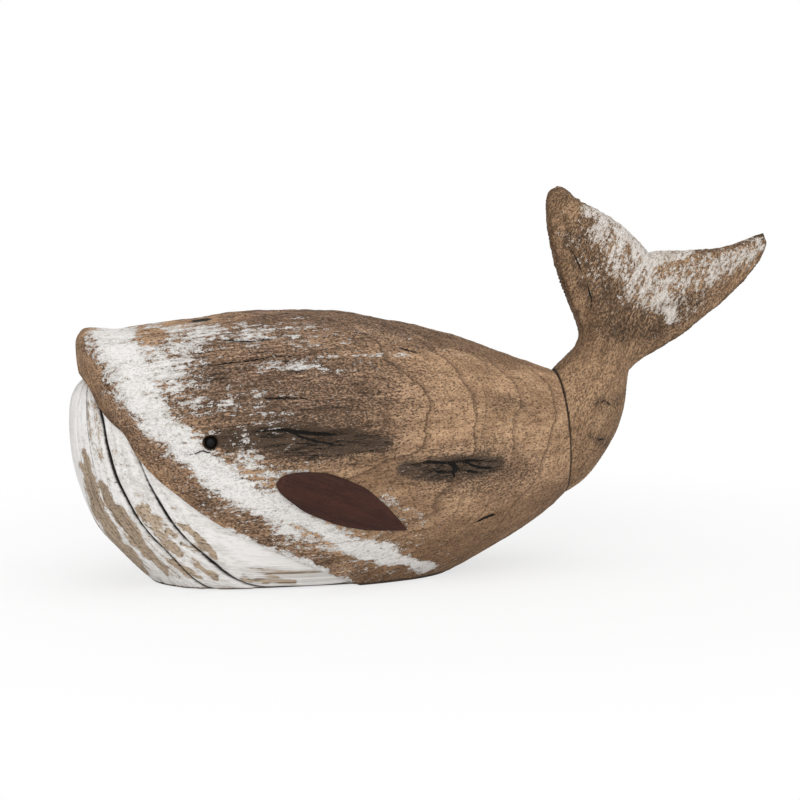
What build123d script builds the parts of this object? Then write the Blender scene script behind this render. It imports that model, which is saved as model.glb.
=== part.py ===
"""A carved whale ornament: a weathered wooden body on a flat sawn base, with a pegged tail, fins and eyes.

Millimetres. +X runs from the head to the tail, +Z is up and the base lies at Z = 0. The whale's left
flank faces -Y. The origin is under the middle of the whole ornament.
"""

from build123d import *
from math import cos, exp, radians, sin, sqrt
import os

# The body block.
BODY_LENGTH = 290.0
BODY_HEIGHT = 156.0
BODY_WIDTH = 129.0

# The joint between the body and the tail.
JOINT_HEIGHT = 74.5
JOINT_WIDTH = 59.0
JOINT_RISE = 42.0
JOINT_LEAN = 4.0
JOINT_TAPER = 2.8
JOINT_REVEAL = 1.0

# The throat under the lip, and the sawn kerfs that make its pleats.
THROAT_WIDTH = 125.5
KERF_WIDTH = 1.6
KERF_DEPTH = 4.0
KERF_GATHER = 14.0
KERF_REACH = 105.0

# The tail: its reach behind the joint, its rise above the bottom of the joint, and its flukes.
TAIL_REACH = 130.0
TAIL_RISE = 184.5
FLUKE_ROOT_THICKNESS = 27.0
FLUKE_TIP_THICKNESS = 13.0
FLUKE_SPAN = 125.0
FLUKE_BEVEL_WIDTH = 12.0
FLUKE_BEVEL_DEPTH = 5.0
FLUKE_LEAN = 65.0

# The two dowels in the tail joint.
TAIL_DOWEL_DIAMETER = 12.0
TAIL_DOWEL_LENGTH = 40.0
TAIL_DOWEL_SPACING = 26.0

# The fins, with two pegs each.
FIN_LENGTH = 83.0
FIN_WIDTH = 27.0
FIN_THICKNESS = 6.5
FIN_BEVEL = 1.2
FIN_SEAT_DEPTH = 2.5
FIN_DROOP = 20.0
FIN_TURN = -2.0
FIN_TILT = -11.0
FIN_HEIGHT = 52.0
FIN_PEG_DIAMETER = 5.0
FIN_PEG_LENGTH = 18.0
FIN_PEG_SPACING = 30.0
FIN_PEG_GRIP = 3.5

# The weathered hollows along the grain of each flank, with a check split open in each of them.
HOLLOW_RADIUS = 30.0
HOLLOW_REACH = 60.0
HOLLOW_DROOP = 3.5
FRONT_HOLLOW_DEPTH = 2.0
FRONT_HOLLOW_HEIGHT = 90.0
FRONT_HOLLOW_TURN = -0.5
FRONT_HOLLOW_TILT = 9.0
REAR_HOLLOW_DEPTH = 1.4
REAR_HOLLOW_HEIGHT = 68.0
REAR_HOLLOW_TURN = -12.0
REAR_HOLLOW_TILT = -2.5
CHECK_WIDTH = 2.0
CHECK_DEPTH = 3.0
CHECK_RAISE = 3.0
FRONT_CHECK_LENGTH = 58.0
FRONT_CHECK_AHEAD = 18.0
REAR_CHECK_LENGTH = 54.0
REAR_CHECK_AHEAD = 9.5

# The eyes.
EYE_HEIGHT = 89.5
EYE_TURN = 10.0
EYE_TILT = 6.0
EYE_HOLE_DIAMETER = 9.4
EYE_HOLE_DEPTH = 6.0
EYE_DIAMETER = 8.8
EYE_RECESS = 1.2
EYE_DOME = 2.6

# Clearances, and one overrun for every cut.
PEG_CLEARANCE = 0.1
GLUE_GAP = 0.8
FIN_CLEARANCE = 0.4
OVERRUN = 5.0

HALF_WIDTH = BODY_WIDTH / 2
OVERALL_LENGTH = BODY_LENGTH + TAIL_REACH
NOSE_X = -OVERALL_LENGTH / 2
JOINT_X = NOSE_X + BODY_LENGTH
JOINT_Z = JOINT_RISE + JOINT_HEIGHT / 2

# Slices of the head and trunk, from the nose to the joint. Each row gives the place along the body as a
# share of its length, the heights of the top, the widest point and the underside as shares of its height,
# and the half width as a share of the body's half width.
EYE_SLICE_SHARES = (0.252, 0.980, 0.513, -0.120, 0.950)
FIN_SLICE_SHARES = (0.500, 0.998, 0.469, -0.145, 0.994)
REAR_HOLLOW_SLICE_SHARES = (0.7759, 0.892, 0.468, 0.003, 0.822)
TRUNK_SLICE_SHARES = (
    (0.0158, 0.903, 0.886, 0.865, 0.048),
    (0.0185, 0.917, 0.872, 0.808, 0.120),
    (0.0240, 0.932, 0.845, 0.742, 0.215),
    (0.0345, 0.946, 0.788, 0.615, 0.341),
    (0.0552, 0.950, 0.718, 0.423, 0.496),
    (0.0897, 0.944, 0.647, 0.205, 0.667),
    (0.1552, 0.958, 0.577, -0.013, 0.837),
    EYE_SLICE_SHARES,
    (0.3793, 1.000, 0.481, -0.147, 1.000),
    FIN_SLICE_SHARES,
    (0.6552, 0.951, 0.462, -0.083, 0.930),
    REAR_HOLLOW_SLICE_SHARES,
    (0.8793, 0.826, 0.487, 0.098, 0.674),
    (0.9483, 0.782, 0.498, 0.183, 0.563),
)

# Slices of the throat, which bulges forward under the lip and is hidden inside the trunk behind it.
THROAT_SLICE_SHARES = (
    (0.0000, 0.625, 0.604, 0.583, 0.045),
    (0.0020, 0.664, 0.602, 0.545, 0.121),
    (0.0086, 0.724, 0.583, 0.446, 0.243),
    (0.0241, 0.763, 0.564, 0.337, 0.374),
    (0.0517, 0.788, 0.545, 0.218, 0.514),
    (0.0897, 0.808, 0.526, 0.135, 0.632),
    (0.1552, 0.821, 0.506, 0.013, 0.766),
    (0.2586, 0.833, 0.487, -0.122, 0.899),
    (0.3793, 0.846, 0.468, -0.154, 0.954),
    (0.5172, 0.846, 0.455, -0.147, 0.946),
    (0.6552, 0.833, 0.449, -0.103, 0.876),
)

# The lip in the side view, from the snout to the base: shares of the body's length and height.
LIP_SHARES = (
    (-0.010, 0.800),
    (0.019, 0.776),
    (0.041, 0.718),
    (0.069, 0.647),
    (0.110, 0.548),
    (0.155, 0.446),
    (0.234, 0.321),
    (0.341, 0.192),
    (0.441, 0.103),
    (0.566, 0.000),
)

# Where the kerfs lie to each side of the middle, as shares of the half width: on the throat and at the
# base. Then the heights that each one is drawn through, as shares of the body's height.
KERF_PLACE_SHARES = (0.095, 0.280, 0.431, 0.574, 0.713)
KERF_BASE_SHARES = (0.080, 0.230, 0.349, 0.527, 0.597)
KERF_HEIGHT_SHARES = (0.745, 0.700, 0.640, 0.540, 0.400, 0.170)
KERF_TOP_SHARE = 0.795

# Slices of the tail stock from the joint to the flukes: the upper and lower end of each slice in the side
# view as shares of the tail's reach and rise, and its half width as a share of the joint's half width.
STOCK_SLICE_SHARES = (
    ((0.008, 0.422), (0.190, 0.102), 0.930),
    ((0.048, 0.449), (0.297, 0.232), 0.790),
    ((0.088, 0.481), (0.332, 0.355), 0.640),
    ((0.103, 0.522), (0.342, 0.432), 0.510),
    ((0.108, 0.590), (0.432, 0.490), 0.430),
)

# The flukes in the side view, as shares of the tail's reach and rise.
NEAR_LEADING_SHARES = ((0.103, 0.500), (0.088, 0.555), (0.055, 0.615), (0.006, 0.696), (-0.032, 0.790),
                       (-0.057, 0.871), (-0.062, 0.935), (-0.044, 0.980), (-0.014, 1.000))
NEAR_TRAILING_SHARES = ((-0.014, 1.000), (0.074, 0.958), (0.145, 0.929), (0.240, 0.893), (0.312, 0.857),
                        (0.384, 0.808), (0.422, 0.775))
FAR_TRAILING_SHARES = ((0.422, 0.775), (0.480, 0.784), (0.575, 0.783), (0.720, 0.787), (0.816, 0.796),
                       (0.912, 0.817), (0.978, 0.834))
FAR_LEADING_SHARES = ((0.978, 0.834), (1.000, 0.812), (0.963, 0.752), (0.868, 0.668), (0.772, 0.607),
                      (0.677, 0.559), (0.582, 0.511), (0.486, 0.471), (0.391, 0.433), (0.334, 0.402))
FLUKE_HEEL_SHARE = (0.200, 0.400)

# The flat bevels along the leading edges, each from one point of the side view to another.
FLUKE_BEVEL_SHARES = (
    ((0.103, 0.500), (-0.020, 0.755)),
    ((-0.020, 0.755), (-0.062, 0.935)),
    ((0.334, 0.402), (0.677, 0.553)),
    ((0.677, 0.553), (1.000, 0.805)),
)

# The fin's outline from its rounded nose to its point: shares of its length and width.
FIN_UPPER_SHARES = ((0.000, 0.000), (0.045, 0.240), (0.190, 0.470), (0.360, 0.580), (0.560, 0.555),
                    (0.755, 0.375), (0.985, 0.060))
FIN_LOWER_SHARES = ((0.985, -0.060), (0.930, -0.125), (0.680, -0.340), (0.490, -0.420), (0.300, -0.385),
                    (0.147, -0.250), (0.000, 0.000))
FIN_MIDDLE_SHARE = 0.45


def body_point(share):
    """Point of the side view, given as shares of the body's length and height."""
    return (NOSE_X + share[0] * BODY_LENGTH, share[1] * BODY_HEIGHT)


def tail_point(share):
    """Point of the side view, given as shares of the tail's reach and rise."""
    return (JOINT_X + share[0] * TAIL_REACH, JOINT_RISE + share[1] * TAIL_RISE)


def egg_slice(plane, side, over, under, half_width):
    """Slice with its widest point at a height on the plane: one half ellipse over another, both as wide."""
    with BuildSketch(plane) as egg:
        with BuildLine():
            EllipticalCenterArc((0, side), half_width, over, 0, arc_size=180)
            EllipticalCenterArc((0, side), half_width, under, 180, arc_size=180)
        make_face()
    return egg.sketch


def body_slice(row, width, inset=0.0):
    """Slice of the body from a row of shares at a full width, drawn in on all sides by the inset."""
    along, top, side, underside, half_width = row
    return egg_slice(
        Plane.YZ.offset(NOSE_X + along * BODY_LENGTH + inset),
        side * BODY_HEIGHT,
        (top - side) * BODY_HEIGHT - inset,
        (side - underside) * BODY_HEIGHT - inset,
        half_width * width / 2 - inset,
    )


def flank_point(row, height):
    """Point of a slice's outline on the left flank at a height."""
    along, top, side, underside, half_width = row
    reach = (top - side) if height > side * BODY_HEIGHT else (side - underside)
    across = half_width * HALF_WIDTH * sqrt(1 - ((height / BODY_HEIGHT - side) / reach) ** 2)
    return (NOSE_X + along * BODY_LENGTH, -across, height)


def flank_plane(row, height, turn, tilt, droop, hand):
    """Plane on a flank, which faces outwards, turned to the head and tilted up; its X axis droops aft."""
    x, y, z = flank_point(row, height)
    return Plane(
        origin=(x, hand * y, z),
        x_dir=(cos(radians(droop)), 0, -sin(radians(droop))),
        z_dir=(
            -sin(radians(turn)) * cos(radians(tilt)),
            -hand * cos(radians(turn)) * cos(radians(tilt)),
            sin(radians(tilt)),
        ),
    )


# The last slice lies a little past the joint, so that the leaning joint can be sawn out of it.
joint_plane = Plane(
    origin=(JOINT_X, 0, JOINT_Z),
    x_dir=(0, 1, 0),
    z_dir=(cos(radians(JOINT_LEAN)), 0, sin(radians(JOINT_LEAN))),
)
end_slice = egg_slice(
    Plane.YZ.offset(JOINT_X + JOINT_HEIGHT / 2 * sin(radians(JOINT_LEAN)) + OVERRUN),
    JOINT_Z,
    JOINT_HEIGHT / 2 - JOINT_TAPER,
    JOINT_HEIGHT / 2 - 2 * JOINT_TAPER,
    JOINT_WIDTH / 2 - JOINT_TAPER,
)
trunk_slices = [body_slice(row, BODY_WIDTH) for row in TRUNK_SLICE_SHARES] + [end_slice]
throat_slices = [body_slice(row, THROAT_WIDTH) for row in THROAT_SLICE_SHARES]
core_slices = [
    body_slice(row, THROAT_WIDTH, KERF_DEPTH)
    for row in THROAT_SLICE_SHARES[::2]
    if row[-1] * THROAT_WIDTH > 4 * KERF_DEPTH
]

stock_slices = [
    egg_slice(joint_plane, 0, JOINT_HEIGHT / 2 - JOINT_REVEAL, JOINT_HEIGHT / 2 - JOINT_REVEAL,
              JOINT_WIDTH / 2 - JOINT_REVEAL)
]
for upper, lower, half_width in STOCK_SLICE_SHARES:
    upper_end = Vector(tail_point(upper)[0], 0, tail_point(upper)[1])
    lower_end = Vector(tail_point(lower)[0], 0, tail_point(lower)[1])
    rise = upper_end - lower_end
    slice_plane = Plane(
        origin=(upper_end + lower_end) / 2,
        x_dir=(0, 1, 0),
        z_dir=(rise.Z, 0, -rise.X),
    )
    stock_slices.append(
        egg_slice(slice_plane, 0, rise.length / 2, rise.length / 2, half_width * JOINT_WIDTH / 2)
    )

# Everything under the lip, as a prism across the body.
with BuildPart() as under_lip:
    with BuildSketch(Plane.XZ):
        with BuildLine():
            lip = Spline(*[body_point(share) for share in LIP_SHARES])
            Polyline(
                lip @ 1,
                (lip.position_at(1).X, -BODY_HEIGHT),
                (lip.position_at(0).X - OVERRUN, -BODY_HEIGHT),
                (lip.position_at(0).X - OVERRUN, lip.position_at(0).Y),
                lip @ 0,
            )
        make_face()
    extrude(amount=BODY_WIDTH, both=True)

# The kerfs: strips in the front view that gather towards the snout, cut to an even depth.
with BuildPart() as throat_kerfs:
    for place, base_place in zip(KERF_PLACE_SHARES, KERF_BASE_SHARES):
        for hand in (-1, 1):
            points = [(hand * base_place * HALF_WIDTH, 0)]
            for share in reversed(KERF_HEIGHT_SHARES):
                below_top = (KERF_TOP_SHARE - share) * BODY_HEIGHT
                gathered = 1 - exp(-below_top / KERF_GATHER)
                points.append((hand * place * HALF_WIDTH * gathered, share * BODY_HEIGHT))
            with BuildSketch(Plane.YZ.offset(NOSE_X - OVERRUN)):
                with BuildLine():
                    kerf = Spline(*points)
                    Line(kerf @ 0, (kerf.position_at(0).X, -OVERRUN))
                trace(line_width=KERF_WIDTH)
            extrude(amount=OVERRUN + KERF_REACH)
    loft(core_slices, mode=Mode.SUBTRACT)
    add(under_lip.part, mode=Mode.INTERSECT)

# The eye holes, the fin seats with their pegs and the hollows are laid out on planes on the flanks.
eye_planes = {}
fin_planes = {}
for side_name, hand in (("left", 1), ("right", -1)):
    eye_planes[side_name] = flank_plane(EYE_SLICE_SHARES, EYE_HEIGHT, EYE_TURN, EYE_TILT, 0, hand)
    fin_planes[side_name] = flank_plane(
        FIN_SLICE_SHARES, FIN_HEIGHT, FIN_TURN, FIN_TILT, FIN_DROOP, hand
    ).offset(-FIN_SEAT_DEPTH)


def fin_face(plane, hand, grow=0.0):
    """Outline of a fin on its seat plane, grown by a clearance; the hand keeps its crest upwards."""
    start = -FIN_MIDDLE_SHARE * FIN_LENGTH - grow
    length = FIN_LENGTH + 2 * grow
    width = hand * (FIN_WIDTH + 2 * grow)
    with BuildSketch(plane) as outline:
        with BuildLine():
            upper = Spline(*[(start + u * length, v * width) for u, v in FIN_UPPER_SHARES])
            lower = Spline(*[(start + u * length, v * width) for u, v in FIN_LOWER_SHARES])
            Line(upper @ 1, lower @ 0)
        make_face()
    return outline.sketch


def peg(plane, diameter, length, sunk):
    """Round peg along a plane's normal, with its lower end sunk below the plane."""
    with BuildPart(plane.offset(-sunk)) as rod:
        Cylinder(diameter / 2, length, align=(Align.CENTER, Align.CENTER, Align.MIN))
    return rod.part


def hollow(plane, depth, check_length, check_ahead, hand):
    """Tool for a hollow: a round scoop along the grain with a pointed check in its floor."""
    scoop_centre = plane.from_local_coords((0, 0, HOLLOW_RADIUS - depth))
    with BuildPart() as tool:
        with BuildSketch(Plane(scoop_centre, z_dir=plane.x_dir)):
            Circle(HOLLOW_RADIUS)
        extrude(amount=HOLLOW_REACH, both=True)
        with BuildSketch(plane.offset(-depth - CHECK_DEPTH)):
            with BuildLine():
                front = (-check_ahead - check_length / 2, hand * CHECK_RAISE)
                rear = (-check_ahead + check_length / 2, hand * CHECK_RAISE)
                ThreePointArc(front, (-check_ahead, hand * CHECK_RAISE + CHECK_WIDTH / 2), rear)
                ThreePointArc(rear, (-check_ahead, hand * CHECK_RAISE - CHECK_WIDTH / 2), front)
            make_face()
        extrude(amount=depth + CHECK_DEPTH + OVERRUN)
    return tool.part


with BuildPart() as throat:
    loft(throat_slices)
    add(under_lip.part, mode=Mode.INTERSECT)
    split(bisect_by=Plane.XY, keep=Keep.TOP)
    add(throat_kerfs.part, mode=Mode.SUBTRACT)

with BuildPart() as body:
    loft(trunk_slices)
    add(under_lip.part, mode=Mode.SUBTRACT)
    split(bisect_by=Plane.XY, keep=Keep.TOP)
    split(bisect_by=joint_plane, keep=Keep.BOTTOM)
    for side_name, hand in (("left", 1), ("right", -1)):
        with BuildSketch(eye_planes[side_name].offset(-EYE_HOLE_DEPTH)):
            Circle(EYE_HOLE_DIAMETER / 2)
        extrude(amount=EYE_HOLE_DEPTH + OVERRUN, mode=Mode.SUBTRACT)
        extrude(
            fin_face(fin_planes[side_name], hand, FIN_CLEARANCE),
            amount=FIN_SEAT_DEPTH + OVERRUN,
            mode=Mode.SUBTRACT,
        )
        with BuildSketch(fin_planes[side_name]):
            with GridLocations(FIN_PEG_SPACING, 0, 2, 1):
                Circle(FIN_PEG_DIAMETER / 2 + PEG_CLEARANCE)
        extrude(amount=-(FIN_PEG_LENGTH - FIN_PEG_GRIP + GLUE_GAP), mode=Mode.SUBTRACT)
        front_plane = flank_plane(
            FIN_SLICE_SHARES, FRONT_HOLLOW_HEIGHT, FRONT_HOLLOW_TURN, FRONT_HOLLOW_TILT, HOLLOW_DROOP, hand
        )
        rear_plane = flank_plane(
            REAR_HOLLOW_SLICE_SHARES, REAR_HOLLOW_HEIGHT, REAR_HOLLOW_TURN, REAR_HOLLOW_TILT, HOLLOW_DROOP, hand
        )
        for tool in (
            hollow(front_plane, FRONT_HOLLOW_DEPTH, FRONT_CHECK_LENGTH, FRONT_CHECK_AHEAD, hand),
            hollow(rear_plane, REAR_HOLLOW_DEPTH, REAR_CHECK_LENGTH, REAR_CHECK_AHEAD, hand),
        ):
            add(tool, mode=Mode.SUBTRACT)
    with BuildSketch(joint_plane):
        with GridLocations(0, TAIL_DOWEL_SPACING, 1, 2):
            Circle(TAIL_DOWEL_DIAMETER / 2 + PEG_CLEARANCE)
    extrude(amount=-(TAIL_DOWEL_LENGTH / 2 + GLUE_GAP), mode=Mode.SUBTRACT)
    add(throat.part)

# The flukes: one board cut to the outline, thinned towards its tips and bevelled along its leading edges.
# It is made as its +Y half and mirrored.
heel_x, heel_z = tail_point(FLUKE_HEEL_SHARE)
fluke_plane = Plane(
    origin=(heel_x, 0, heel_z),
    x_dir=(0, 1, 0),
    z_dir=(sin(radians(FLUKE_LEAN)), 0, -cos(radians(FLUKE_LEAN))),
)


def fluke_surface(x, z, sunk=0.0):
    """Point on the flukes' +Y face above a point of the side view, sunk below the face."""
    height = fluke_plane.to_local_coords(Vector(x, 0, z)).Y
    thinning = (FLUKE_ROOT_THICKNESS - FLUKE_TIP_THICKNESS) * height / FLUKE_SPAN
    return Vector(x, (FLUKE_ROOT_THICKNESS - thinning) / 2 - sunk, z)


notch_x, notch_z = tail_point(FAR_TRAILING_SHARES[0])
with BuildPart() as flukes:
    with BuildSketch(Plane.XZ):
        with BuildLine():
            Spline(*[tail_point(share) for share in NEAR_LEADING_SHARES])
            Spline(*[tail_point(share) for share in NEAR_TRAILING_SHARES])
            Spline(*[tail_point(share) for share in FAR_TRAILING_SHARES])
            Spline(*[tail_point(share) for share in FAR_LEADING_SHARES])
            Polyline(
                tail_point(FAR_LEADING_SHARES[-1]),
                tail_point(FLUKE_HEEL_SHARE),
                tail_point(NEAR_LEADING_SHARES[0]),
            )
        make_face()
    extrude(amount=-FLUKE_ROOT_THICKNESS)
    with BuildSketch(fluke_plane):
        with BuildLine():
            Polyline(
                (-FLUKE_ROOT_THICKNESS / 2, -FLUKE_SPAN),
                (-FLUKE_ROOT_THICKNESS / 2, 0),
                (-FLUKE_TIP_THICKNESS / 2, FLUKE_SPAN),
                (FLUKE_TIP_THICKNESS / 2, FLUKE_SPAN),
                (FLUKE_ROOT_THICKNESS / 2, 0),
                (FLUKE_ROOT_THICKNESS / 2, -FLUKE_SPAN),
                close=True,
            )
        make_face()
    extrude(amount=TAIL_REACH + TAIL_RISE, both=True, mode=Mode.INTERSECT)
    for start_share, end_share in FLUKE_BEVEL_SHARES:
        start = Vector(tail_point(start_share)[0], 0, tail_point(start_share)[1])
        end = Vector(tail_point(end_share)[0], 0, tail_point(end_share)[1])
        across = (end - start).cross(Vector(0, 1, 0)).normalized() * FLUKE_BEVEL_WIDTH
        if across.dot(Vector(notch_x, 0, notch_z) - start) < 0:
            across = -across
        inner = (start + end) / 2 + across
        rim_start = fluke_surface(start.X, start.Z, FLUKE_BEVEL_DEPTH)
        rim_end = fluke_surface(end.X, end.Z, FLUKE_BEVEL_DEPTH)
        face_point = fluke_surface(inner.X, inner.Z)
        normal = (rim_end - rim_start).cross(face_point - rim_start)
        if normal.Y < 0:
            normal = -normal
        split(bisect_by=Plane(rim_start, x_dir=rim_end - rim_start, z_dir=normal), keep=Keep.BOTTOM)
    mirror(about=Plane.XZ)

with BuildPart() as tail:
    loft(stock_slices[:4])
    loft(stock_slices[2:])
    add(flukes.part)
    with BuildSketch(joint_plane):
        with GridLocations(0, TAIL_DOWEL_SPACING, 1, 2):
            Circle(TAIL_DOWEL_DIAMETER / 2 + PEG_CLEARANCE)
    extrude(amount=TAIL_DOWEL_LENGTH / 2 + GLUE_GAP, mode=Mode.SUBTRACT)

os.makedirs("parts", exist_ok=True)
pieces = {"body": body.part, "tail": tail.part}

for name, offset_sign in (("upper", 1), ("lower", -1)):
    dowel_plane = Plane(joint_plane.from_local_coords((0, offset_sign * TAIL_DOWEL_SPACING / 2, 0)),
                        x_dir=joint_plane.x_dir, z_dir=joint_plane.z_dir)
    pieces[f"tail_dowel_{name}"] = peg(
        dowel_plane, TAIL_DOWEL_DIAMETER, TAIL_DOWEL_LENGTH, TAIL_DOWEL_LENGTH / 2
    )

for side_name, hand in (("left", 1), ("right", -1)):
    plane = fin_planes[side_name]
    with BuildPart() as fin:
        extrude(fin_face(plane, hand), amount=FIN_THICKNESS)
        chamfer(fin.faces().sort_by(Axis(plane.origin, plane.z_dir))[-1].edges(), FIN_BEVEL)
        with BuildSketch(plane):
            with GridLocations(FIN_PEG_SPACING, 0, 2, 1):
                Circle(FIN_PEG_DIAMETER / 2 + PEG_CLEARANCE)
        extrude(amount=FIN_PEG_GRIP + GLUE_GAP, mode=Mode.SUBTRACT)
    pieces[f"{side_name}_fin"] = fin.part
    for name, along in (("front", -1), ("rear", 1)):
        peg_plane = Plane(plane.from_local_coords((along * FIN_PEG_SPACING / 2, 0, 0)),
                          x_dir=plane.x_dir, z_dir=plane.z_dir)
        pieces[f"{side_name}_fin_peg_{name}"] = peg(
            peg_plane, FIN_PEG_DIAMETER, FIN_PEG_LENGTH, FIN_PEG_LENGTH - FIN_PEG_GRIP
        )
    with BuildPart(eye_planes[side_name].offset(-EYE_HOLE_DEPTH)) as eye:
        Cylinder(
            EYE_DIAMETER / 2,
            EYE_HOLE_DEPTH - EYE_RECESS,
            align=(Align.CENTER, Align.CENTER, Align.MIN),
        )
        outer_axis = Axis(eye_planes[side_name].origin, eye_planes[side_name].z_dir)
        fillet(eye.faces().sort_by(outer_axis)[-1].edges(), EYE_DOME)
    pieces[f"{side_name}_eye"] = eye.part

for name, piece in pieces.items():
    piece.label = name
    export_step(piece, f"parts/{name}.step")
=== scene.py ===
"""Looks of a carved wooden whale: weathered grain, worn white paint, sawn throat kerfs and dark fins.

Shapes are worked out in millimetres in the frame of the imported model, with +Z up and the head at -X,
and written to the meshes in metres.
"""

import logging
import math
from collections.abc import Callable
from dataclasses import dataclass, field, replace
from enum import Enum

import bpy
import numpy as np
from mathutils import Matrix


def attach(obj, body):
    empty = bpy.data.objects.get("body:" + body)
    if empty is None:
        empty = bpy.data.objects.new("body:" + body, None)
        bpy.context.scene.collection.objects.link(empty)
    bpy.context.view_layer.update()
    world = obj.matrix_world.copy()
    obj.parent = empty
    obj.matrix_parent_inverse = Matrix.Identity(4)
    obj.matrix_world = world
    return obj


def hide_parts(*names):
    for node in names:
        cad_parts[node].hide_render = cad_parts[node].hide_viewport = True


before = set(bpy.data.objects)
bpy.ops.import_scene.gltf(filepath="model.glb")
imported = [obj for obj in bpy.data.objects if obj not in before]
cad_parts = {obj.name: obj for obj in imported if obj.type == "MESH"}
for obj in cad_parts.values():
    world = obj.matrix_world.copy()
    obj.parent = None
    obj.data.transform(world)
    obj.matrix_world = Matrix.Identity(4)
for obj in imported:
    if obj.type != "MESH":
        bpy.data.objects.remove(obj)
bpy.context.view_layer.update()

MM = 0.001
PICTURE_SIDE = 800
PIXELS_PER_MM = 1.7
FAR_FROM_CRACK = 4.0
MARK_FADE = (1.5, 0.3)
CHECK_SHOULDER = (1.4, -0.6)
CHECK_SHAKE = 0.8
CHECK_TAPER = 4.0
# Painted shade along the joint between the trunk and the tail: fade distances in mm and strength.
SEAM_FADE, SEAM_SHADE = (1.0, 0.3), 0.85
MIRROR = np.array([1.0, -1.0, 1.0])
LOG = logging.getLogger("whale")

Colour = tuple[float, float, float]
Marks = dict[str, np.ndarray]


# Numbers worked out on whole arrays.


def smooth_step(low: float, high: float, value: np.ndarray) -> np.ndarray:
    """Rise from 0 at low to 1 at high, or fall where low is above high, as t squared times (3 - 2t)."""
    t = np.clip((value - low) / (high - low), 0.0, 1.0)
    return t * t * (3.0 - 2.0 * t)


def smooth_through(places: np.ndarray, values: np.ndarray, at: np.ndarray) -> np.ndarray:
    """Smooth curve through points that never overshoots them.

    Each stretch is the cubic with given end slopes, and an inner slope is the weighted harmonic mean
    of the slopes beside it, or zero at a turning point.

    Args:
        places: Rising places of the points.
        values: Values at those places.
        at: Places to read.

    Returns:
        The curve's values there.
    """
    step = np.diff(places)
    rise = np.diff(values) / step
    slope = np.append(rise, rise[-1])
    ahead, behind = 2 * step[1:] + step[:-1], step[1:] + 2 * step[:-1]
    same_way = rise[:-1] * rise[1:] > 0
    safe_before = np.where(same_way, rise[:-1], 1.0)
    safe_after = np.where(same_way, rise[1:], 1.0)
    mean = (ahead + behind) / (ahead / safe_before + behind / safe_after)
    slope[1:-1] = np.where(same_way, mean, 0.0)
    at = np.clip(at, places[0], places[-1])
    i = np.clip(np.searchsorted(places, at) - 1, 0, len(step) - 1)
    t = (at - places[i]) / step[i]
    return (
        (1 + 2 * t) * (1 - t) ** 2 * values[i]
        + t * (1 - t) ** 2 * step[i] * slope[i]
        + t * t * (3 - 2 * t) * values[i + 1]
        + t * t * (t - 1) * step[i] * slope[i + 1]
    )


def spaced(start: float, end: float, gap: np.ndarray) -> np.ndarray:
    """Places from start to end whose spacing follows a wanted gap.

    The count so far is the sum of 1/gap along the way, and the places are where it is a whole number.

    Args:
        start: First place.
        end: Last place.
        gap: Wanted spacing at evenly spread places from start to end.

    Returns:
        The places, both ends included.
    """
    even = np.linspace(start, end, len(gap))
    density = 1.0 / gap
    so_far = np.concatenate([[0.0], np.cumsum((density[1:] + density[:-1]) / 2 * np.diff(even))])
    count = max(2, int(round(so_far[-1])))
    return np.interp(np.linspace(0.0, so_far[-1], count + 1), so_far, even)


def cell_values(cells: np.ndarray, seed: int) -> np.ndarray:
    """Fixed random number from 0 to 1 for each whole-number cell, by multiplying and mixing its bits."""
    mixed = np.full(cells.shape[:-1], seed * 2654435761 % 2**32, dtype=np.uint64)
    for axis, prime in enumerate((73856093, 19349663, 83492791)):
        mixed = (mixed ^ (cells[..., axis].astype(np.int64) * prime).astype(np.uint64)) & 0xFFFFFFFF
        mixed = (mixed * 2246822519) & 0xFFFFFFFF
        mixed = mixed ^ (mixed >> 15)
    return mixed.astype(float) / 2**32


@dataclass(frozen=True)
class Noise:
    """Cloudy noise from about -1 to 1, made of layers that each have half the size and strength of the last.

    In one layer a point takes the corners of its cell, weighted by a smooth step along each axis.

    Attributes:
        size: Size of the largest clumps along X, Y and Z, in millimetres.
        seed: Which noise.
        layers: How many layers.
    """

    size: tuple[float, float, float]
    seed: int
    layers: int = 4

    def at(self, points: np.ndarray) -> np.ndarray:
        """One number for each point."""
        seed_step = 31
        total = np.zeros(points.shape[:-1])
        for layer in range(self.layers):
            scaled = points / np.array(self.size) * 2.0**layer
            low = np.floor(scaled)
            part = scaled - low
            part = part * part * (3.0 - 2.0 * part)
            value = np.zeros(points.shape[:-1])
            for corner in np.ndindex(2, 2, 2):
                weight = np.prod(np.where(np.array(corner) == 1, part, 1.0 - part), axis=-1)
                value += weight * cell_values(low + np.array(corner), self.seed + seed_step * layer)
            total += (2.0 * value - 1.0) * 0.5**layer
        return total

    def pair(self, points: np.ndarray) -> np.ndarray:
        """This noise and the one with the next seed, which together shift places in the picture."""
        return np.stack([self.at(points), replace(self, seed=self.seed + 1).at(points)], -1)


def outward_normals(rings: np.ndarray) -> np.ndarray:
    """Unit normals of a grid of closed rings: the cross product of the steps along and around it."""
    along = np.gradient(rings, axis=0)
    around = np.roll(rings, -1, axis=1) - np.roll(rings, 1, axis=1)
    normals = np.cross(along, around)
    normals /= np.maximum(np.linalg.norm(normals, axis=-1, keepdims=True), 1e-9)
    away = rings - rings.mean(axis=1, keepdims=True)
    if np.sum(normals * away) < 0:
        normals = -normals
    return normals


def segment_distance(points: np.ndarray, start: np.ndarray, end: np.ndarray) -> tuple[np.ndarray, np.ndarray]:
    """Distance of points in a plane from a straight run, and how far along it each one lies from 0 to 1."""
    run = end - start
    along = np.clip(((points - start) @ run) / max(float(run @ run), 1e-9), 0.0, 1.0)
    nearest = start + along[..., None] * run
    return np.linalg.norm(points - nearest, axis=-1), along


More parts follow.
